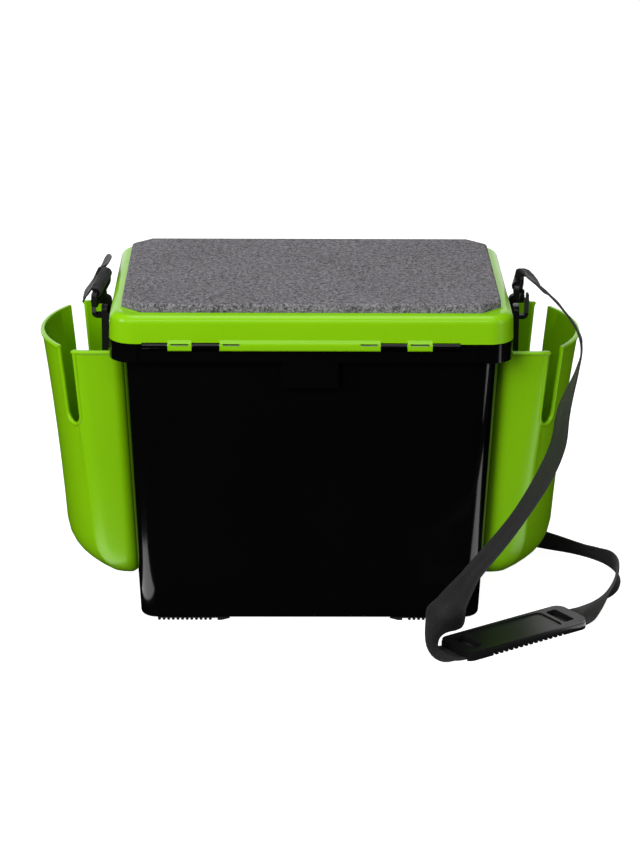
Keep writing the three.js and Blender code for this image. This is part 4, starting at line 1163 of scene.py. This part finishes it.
def hook_body():
    body = upright(HOOK_IN, HOOK_OUT, -HOOK_BAR, HOOK_TOP, HOOK_HALF, HOOK_ROUNDS)
    window_x = (HOOK_IN + HOOK_WIRE, HOOK_OUT - HOOK_WIRE)
    window = upright(*window_x, HOOK_BAR, HOOK_WINDOW, HOOK_HALF + 1, HOOK_WINDOW_ROUNDS)
    gate_x = (HOOK_OUT - HOOK_WIRE - GATE_GAP, HOOK_OUT + OVERRUN)
    gate_z = (GATE_LOW - GATE_GAP, HOOK_TOP + OVERRUN)
    gate_room = block(*gate_x, -HOOK_CUT_HALF, HOOK_CUT_HALF, *gate_z)
    eye_room = rod("y", GATE_EYE + GATE_GAP, HOOK_CUT_HALF * 2, (GATE_X, 0, GATE_PIVOT), 32)
    grooves = []
    for face in (-HOOK_HALF, HOOK_HALF):
        for step in range(GRIP_LINES):
            spot = Matrix.Translation((HOOK_IN + HOOK_WIRE / 2, face, GRIP_LOW + step * GRIP_PITCH))
            reach = (-GRIP_HALF_LONG, GRIP_HALF_LONG, -GRIP_HALF_WIDE, GRIP_HALF_WIDE)
            line = block(*reach, -GRIP_HALF_HIGH, GRIP_HALF_HIGH)
            grooves.append(moved(line, spot @ Matrix.Rotation(GRIP_TURN, 4, "Y")))
    body = cut(body, [window, gate_room, eye_room, *grooves])
    neck = rod("z", NECK_RADIUS, NECK_LONG, (NECK_X, 0, HOOK_TOP + NECK_RISE), 28)
    head_middle = (NECK_X, 0, HOOK_TOP + NECK_HEAD_RISE)
    head = rod("z", NECK_HEAD_RADIUS, NECK_HEAD_LONG, head_middle, 32, tip=NECK_HEAD_TIP)
    return joined(body, [neck, head])


def hook_gate():
    pivot = (GATE_X, 0, GATE_PIVOT)
    bar = upright(HOOK_OUT - HOOK_WIRE, HOOK_OUT, GATE_LOW, GATE_PIVOT, HOOK_HALF, GATE_ROUNDS)
    eye = rod("y", GATE_EYE, HOOK_HALF * 2, pivot, 36)
    lever_low = GATE_PIVOT - PIN_RADIUS
    lever = upright(HOOK_OUT - LEVER_THICK, HOOK_OUT, lever_low, LEVER_TOP, HOOK_HALF, LEVER_ROUNDS)
    pin = rod("y", PIN_RADIUS, (HOOK_HALF + PIN_PROUD) * 2, pivot, 24)
    grip_x = (HOOK_OUT - LEVER_GRIP_DEEP, HOOK_OUT + 1)
    grip = [block(*grip_x, -HOOK_CUT_HALF, HOOK_CUT_HALF, z, z + LEVER_GRIP_WIDE) for z in LEVER_GRIP]
    return cut(joined(bar, [eye, lever, pin]), grip)


def swivel_loop():
    """The webbing's loop, with a round boss under it that takes the hook's neck."""
    half = LOOP_HALF_THICK
    loop = rounded_plate("x", LOOP_HALF, LOOP_LOW, LOOP_HIGH, -half, half, HOOK_WIRE)
    window_z = (LOOP_LOW + HOOK_WIRE, LOOP_HIGH - HOOK_WIRE)
    window = rounded_plate("x", LOOP_HALF - HOOK_WIRE, *window_z, -half - 1.5, half + 1.5, 1)
    middle = (0, 0, LOOP_LOW + BOSS_LONG / 2)
    loop = joined(cut(loop, [window]), [rod("z", BOSS_RADIUS, BOSS_LONG, middle, 36)])
    return cut(loop, [rod("z", BOSS_BORE, BOSS_LONG * 3, middle, 28)])


def make_hook(label):
    side, lean, turn = HOOK_POSES[label]
    lift = EAR_SLOT[0] + SEAT_GAP + HOOK_BAR * math.cos(lean) + HOOK_HALF * math.sin(lean)
    leaning = Matrix.Translation((0, 0, lift)) @ Matrix.Rotation(lean, 4, "X")
    stand = leaning @ HALF_TURN if side < 0 else leaning
    place = leaning @ Matrix.Translation((side * NECK_X, 0, 0)) @ Matrix.Rotation(turn, 4, "Z")
    parts = [
        (f"snap_hook_{label}", "_ring", moved(hook_body(), stand), NYLON, "box", 0.5),
        # The gate's lever takes the lighter nylon, a painted highlight.
        (f"hook_gate_{label}", "_lever", moved(hook_gate(), stand), LEVER_HIGHLIGHT_NYLON, f"gate_{label}", 0.35),
        (f"hook_swivel_{label}", "_loop", moved(swivel_loop(), place), NYLON, "box", 1.2),
    ]
    for node, ending, shape, finish, body, soften in parts:
        add_piece(node + ending, shape, finish, body, [node], soften)


# Feet: a plate with round ribs across it and a smooth tip
FOOT_X = (78, 148)
FOOT_Y = (79, 103)
FOOT_PLATE = 1.2
FOOT_TIP = [(78, TUB_LOW), (78, 2.2), (86, 0), (90, 0), (90, TUB_LOW)]
FOOT_RIB_PITCH = 4.5
FOOT_RIBS = 12
FOOT_RIB_FIRST = 1.5
FOOT_RIB_HALF = 1.4
FOOT_RIB_RADIUS = 1.45
FOOT_RIB_LOW = 1.3


def make_foot(name, sign_x, sign_y):
    low, high = sorted(sign_y * y for y in FOOT_Y)
    body = block(*FOOT_X, low, high, TUB_LOW - FOOT_PLATE, TUB_LOW)
    ribs = []
    for rib in range(FOOT_RIBS):
        middle = FOOT_X[1] - FOOT_RIB_FIRST - rib * FOOT_RIB_PITCH
        web_x = (middle - FOOT_RIB_HALF, middle + FOOT_RIB_HALF)
        round_middle = (middle, (low + high) / 2, FOOT_RIB_RADIUS)
        ribs.append(block(*web_x, low, high, FOOT_RIB_LOW, TUB_LOW))
        ribs.append(rod("y", FOOT_RIB_RADIUS, high - low, round_middle, 20))
    foot = joined(body, [prism(FOOT_TIP, "y", low, high), *ribs])
    if sign_x < 0:
        foot = moved(foot, MIRROR_X)
    add_piece(name + "_rubber", foot, RUBBER, "box", [name], soften=0.3)


# Shoulder pad: a moulded plate over the webbing
SHOULDER_PLACE = (196, -144.2, 0)
SHOULDER_TURN = math.radians(34.28)
SHOULDER_HALF = (75, 23.5)
SHOULDER_ROUND = 10
SHOULDER_EDGE_HIGH = 6.6
SHOULDER_TOP = 9
DOME_SHARE = (0.992, 0.975)
DOME_ROUND = 9.4
DISH_HALF = (46, 19)
DISH_LOW = 7.9
DISH_ROUND = 6
TUNNEL_HALF = 19.9
TUNNEL_HIGH = 3.6
TUNNEL_REACH = 80
OPENING_PLACE = 56.5
OPENING_HALF = (6.5, 15)
OPENING_ROUND = 2.5
TEETH_EACH_WAY = 7
TOOTH_PITCH = 6
TOOTH_HALF = 1.5
TOOTH_HIGH = 2.4
TOOTH_REACH = 40
ABOVE = 12
BELOW = -2


def pad_plate(middle, halves, low, high, radius, steps):
    """A plate of the pad, with its middle along the strap, its half sizes and its corner radius."""
    corners = rectangle(middle - halves[0], middle + halves[0], -halves[1], halves[1])
    return prism(corners, "z", low, high, [radius] * 4, steps)


def make_shoulder_pad():
    """A low dome with a dished top, a tunnel for the webbing and a window at each end."""
    dome_halves = [half * share for half, share in zip(SHOULDER_HALF, DOME_SHARE)]
    edge = pad_plate(0, SHOULDER_HALF, 0, SHOULDER_EDGE_HIGH, SHOULDER_ROUND, 10)
    dome = pad_plate(0, dome_halves, 0, SHOULDER_TOP, DOME_ROUND, 10)
    cutters = [
        block(-TUNNEL_REACH, TUNNEL_REACH, -TUNNEL_HALF, TUNNEL_HALF, BELOW, TUNNEL_HIGH),
        pad_plate(0, DISH_HALF, DISH_LOW, ABOVE, DISH_ROUND, 8),
    ]
    for middle in (-OPENING_PLACE, OPENING_PLACE):
        cutters.append(pad_plate(middle, OPENING_HALF, BELOW, ABOVE, OPENING_ROUND, 5))
    for tooth in range(-TEETH_EACH_WAY, TEETH_EACH_WAY + 1):
        middle = tooth * TOOTH_PITCH
        tooth_x = (middle - TOOTH_HALF, middle + TOOTH_HALF)
        cutters.append(block(*tooth_x, -TOOTH_REACH, TOOTH_REACH, BELOW, TOOTH_HIGH))
    stand = Matrix.Translation(SHOULDER_PLACE) @ Matrix.Rotation(SHOULDER_TURN, 4, "Z")
    pad = moved(cut(joined(edge, [dome]), cutters), stand)
    add_piece("shoulder_grip", pad, NYLON, "box", ["shoulder_pad"], soften=0.5)


# Webbing: each point of the route, with the direction of the strap's width there
STRAP_WIDE = 38
STRAP_THICK = 1.8
STRAP_STEP = 2.5
STRAP_EDGE = (0.35, 1.4)
STRAP_EDGE_SHARE = 0.75
STRAP_ROWS = (0.2, 0.35, 0.5, 0.65, 0.8)
STRAP_ROUTE = [
    (203.9, -2.5, 311.2, 0.17, 0.98, 0.07),
    (199.9, -1.8, 312.3, 0.17, 0.98, 0.07),
    (198.1, -1.8, 316.1, 0.17, 0.98, 0.07),
    (200.1, -2.4, 320.2, 0.17, 0.98, 0.07),
    (203.8, -3.1, 321, 0.17, 0.98, 0.07),
    (209.5, -6.5, 321.2, 0.088, 0.957, -0.277),
    (218, -24, 317.5, 0.09, 0.957, -0.275),
    (230, -52, 313, 0.095, 0.955, -0.28),
    (243.6, -86, 303, 0.102, 0.953, -0.287),
    (251.5, -106, 292, 0.105, 0.95, -0.293),
    (253.3, -117, 278.5, 0.106, 0.949, -0.298),
    (249.3, -123, 262, 0.04, 0.95, -0.3),
    (237.4, -132, 226, -0.2, 0.92, -0.22),
    (232.3, -138, 194, -0.26, 0.91, -0.2),
    (220, -146, 166, -0.27, 0.92, -0.15),
    (197, -158, 131, -0.22, 0.94, -0.14),
    (178, -167, 108, -0.23, 0.94, -0.11),
    (150, -182, 79, -0.27, 0.93, -0.09),
    (132, -195, 56, -0.6, 0.75, 0.05),
    (122.5, -203.5, 38, -0.88, -0.4, 0.17),
    (118.5, -203.5, 24, -0.5, -0.85, 0.2),
    (119.5, -199.5, 12.5, 0.1, -0.95, 0.1),
    (125, -193.5, 4.8, 0.563, -0.826, 0),
    (134, -186.5, 2.1, 0.563, -0.826, 0),
    (165, -165.3, 1.9, 0.563, -0.826, 0),
    (196, -144.2, 1.9, 0.563, -0.826, 0),
    (227, -123, 1.9, 0.563, -0.826, 0),
    (250, -107.3, 1.9, 0.563, -0.826, 0),
    (258.5, -101.5, 2, 0.563, -0.826, 0),
    (266, -96.3, 3.4, 0.563, -0.826, 0.06),
    (273.5, -90.3, 7, 0.53, -0.75, 0.28),
    (281.5, -82.5, 11.6, 0.5, -0.62, 0.52),
    (292, -71, 16, 0.45, -0.45, 0.8),
    (303, -48, 20.2, 0.15, -0.15, 0.98),
    (307, -20, 19.8, -0.2, 0, 0.98),
    (303, 8, 17.5, -0.55, -0.15, 0.82),
    (291, 34, 15.5, -0.6, -0.4, 0.7),
    (270, 55, 15.5, -0.45, -0.55, 0.7),
    (240, 74, 16.5, -0.35, -0.5, 0.78),
    (200, 100, 18.5, -0.2, -0.35, 0.92),
    (150, 128, 19.6, -0.05, -0.2, 0.98),
    (90, 148, 19.8, 0, -0.25, 0.97),
    (30, 158, 17, 0, -0.55, 0.83),
    (-30, 161, 11.4, 0, -0.85, 0.5),
    (-85, 156, 4.2, 0, -0.99, 0.1),
    (-135, 147, 2, 0, -1, 0),
    (-178, 138, 5, 0, -1, 0),
    (-207, 132, 24, 0, -1, 0),
    (-219, 130, 60, 0, -1, 0),
    (-221, 130, 110, 0, -1, -0.02),
    (-219, 129, 160, 0, -1, -0.05),
    (-217, 127, 205, 0, -0.98, -0.15),
    (-216, 120, 240, 0, -0.97, -0.25),
    (-214, 113, 264, 0, -0.92, -0.4),
    (-213, 102, 286, -0.2, -0.75, -0.6),
    (-211, 84, 300, -0.45, -0.5, -0.74),
    (-208.5, 60, 306, -0.6, -0.3, -0.74),
    (-210, 34, 308, -0.62, -0.3, -0.72),
    (-212.5, 13, 308.5, -0.5, -0.4, -0.76),
    (-213, -3, 310, -0.3, -0.7, -0.6),
    (-209.3, -10.4, 314.6, -0.24, -0.92, -0.3),
    (-205.9, -12.3, 319.6, -0.24, -0.92, -0.3),
    (-200.9, -13.7, 319.6, -0.24, -0.92, -0.3),
    (-198, -13, 315.3, -0.24, -0.92, -0.3),
    (-200.2, -11.1, 311, -0.24, -0.92, -0.3),
    (-203.1, -10.1, 310.4, -0.24, -0.92, -0.3),
]


def through(points, index, share):
    """A point of the smooth curve through points, past point index by a share of the next run."""
    last = len(points) - 1
    p1 = points[index]
    p2 = points[index + 1]
    p0 = points[index - 1] if index else p1 * 2 - p2
    p3 = points[index + 2] if index + 2 <= last else p2 * 2 - p1
    d0, d1, d2 = (max((b - a).length ** 0.5, 1e-4) for a, b in ((p0, p1), (p1, p2), (p2, p3)))
    t1 = ((p1 - p0) / d0 - (p2 - p0) / (d0 + d1) + (p2 - p1) / d1) * d1
    t2 = ((p2 - p1) / d1 - (p3 - p1) / (d1 + d2) + (p3 - p2) / d2) * d1
    square = share * share
    cube = square * share
    return (
        p1 * (2 * cube - 3 * square + 1) + t1 * (cube - 2 * square + share)
        + p2 * (3 * square - 2 * cube) + t2 * (cube - square)
    )


def strap_frames():
    """Middle, width direction and thickness direction along the strap, every few millimetres."""
    middles = [Vector(entry[:3]) for entry in STRAP_ROUTE]
    widths = [Vector(entry[3:]).normalized() for entry in STRAP_ROUTE]
    spots = []
    for index in range(len(middles) - 1):
        steps = max(2, round((middles[index + 1] - middles[index]).length / STRAP_STEP))
        for step in range(steps):
            share = step / steps
            spots.append((through(middles, index, share), through(widths, index, share)))
    spots.append((middles[-1], widths[-1]))
    frames = []
    for index, (middle, width) in enumerate(spots):
        before = spots[max(index - 1, 0)][0]
        after = spots[min(index + 1, len(spots) - 1)][0]
        run = (after - before).normalized()
        width = (width - run * width.dot(run)).normalized()
        frames.append((middle, width, run.cross(width)))
    return frames


def make_webbing():
    half = STRAP_WIDE / 2
    thick = STRAP_THICK / 2
    outer, inner = STRAP_EDGE
    shoulder = -thick * STRAP_EDGE_SHARE
    section = [(-half, 0), (-half + outer, shoulder), (-half + inner, -thick)]
    section += [(-half + STRAP_WIDE * share, -thick) for share in STRAP_ROWS]
    section += [(half - inner, -thick), (half - outer, shoulder)]
    section += [(-a, -b) for a, b in section]
    frames = strap_frames()
    bm = bmesh.new()
    lay = bm.loops.layers.uv.new("lay")
    rings = []
    for middle, width, up in frames:
        rings.append([bm.verts.new(middle + width * a + up * b) for a, b in section])
    travelled = [0]
    for (first, _, _), (second, _, _) in zip(frames, frames[1:]):
        travelled.append(travelled[-1] + (second - first).length)
    count = len(section)
    for row in range(len(rings) - 1):
        for spot in range(count):
            follow = (spot + 1) % count
            places = [(row, spot), (row, follow), (row + 1, follow), (row + 1, spot)]
            face = bm.faces.new([rings[along][across] for along, across in places])
            for corner, (along, across) in zip(face.loops, places):
                corner[lay].uv = (travelled[along] * MM, (section[across][0] + half) * MM)
    bm.faces.new(reversed(rings[0]))
    bm.faces.new(rings[-1])
    bmesh.ops.recalc_face_normals(bm, faces=bm.faces)
    strap = add_piece("webbing", bm, WEBBING, "box", ["strap_webbing"], soften=0)
    path = [middle * MM for middle, _, _ in frames]
    carried = ["shoulder_grip"]
    for label in HOOK_POSES:
        carried += [f"snap_hook_{label}_ring", f"hook_gate_{label}_lever", f"hook_swivel_{label}_loop"]
    print("strap length in millimetres", round(travelled[-1]))


# The camera, the finishes, every piece, and the studio round them
ENDS = {"front": -1, "rear": 1}

make_camera()
BLACK_TUB = black_tub_plastic()
LIME = lime_plastic()
FOAM = speckled_foam()
RUBBER = foot_rubber()
STEEL = drawn_steel()
NYLON = moulded_nylon("moulded nylon", (0.005, 0.005, 0.006), (0.012, 0.012, 0.013))
# A lighter copy of the black nylon for the gate's lever, whose grey is a painted highlight.
LEVER_HIGHLIGHT_NYLON = moulded_nylon("nylon painted lighter for highlight", (0.05, 0.05, 0.052), (0.075, 0.075, 0.078))
WEBBING = ribbed_webbing()

for hook in HOOK_POSES:
    make_hook(hook)
make_shoulder_pad()
make_webbing()
make_tub()
make_lid()
make_seat()
make_hinge_rods()
for label, (side, *_) in HOOK_POSES.items():
    make_pocket(f"pocket_{label}", side)
    make_ear(label, side)
    for place, sign in ENDS.items():
        make_ear_screw(label, side, place, sign * EAR_SCREW_Y)
for place, sign in ENDS.items():
    for label, (side, *_) in HOOK_POSES.items():
        make_foot(f"foot_{place}_{label}", side, sign)
make_studio()
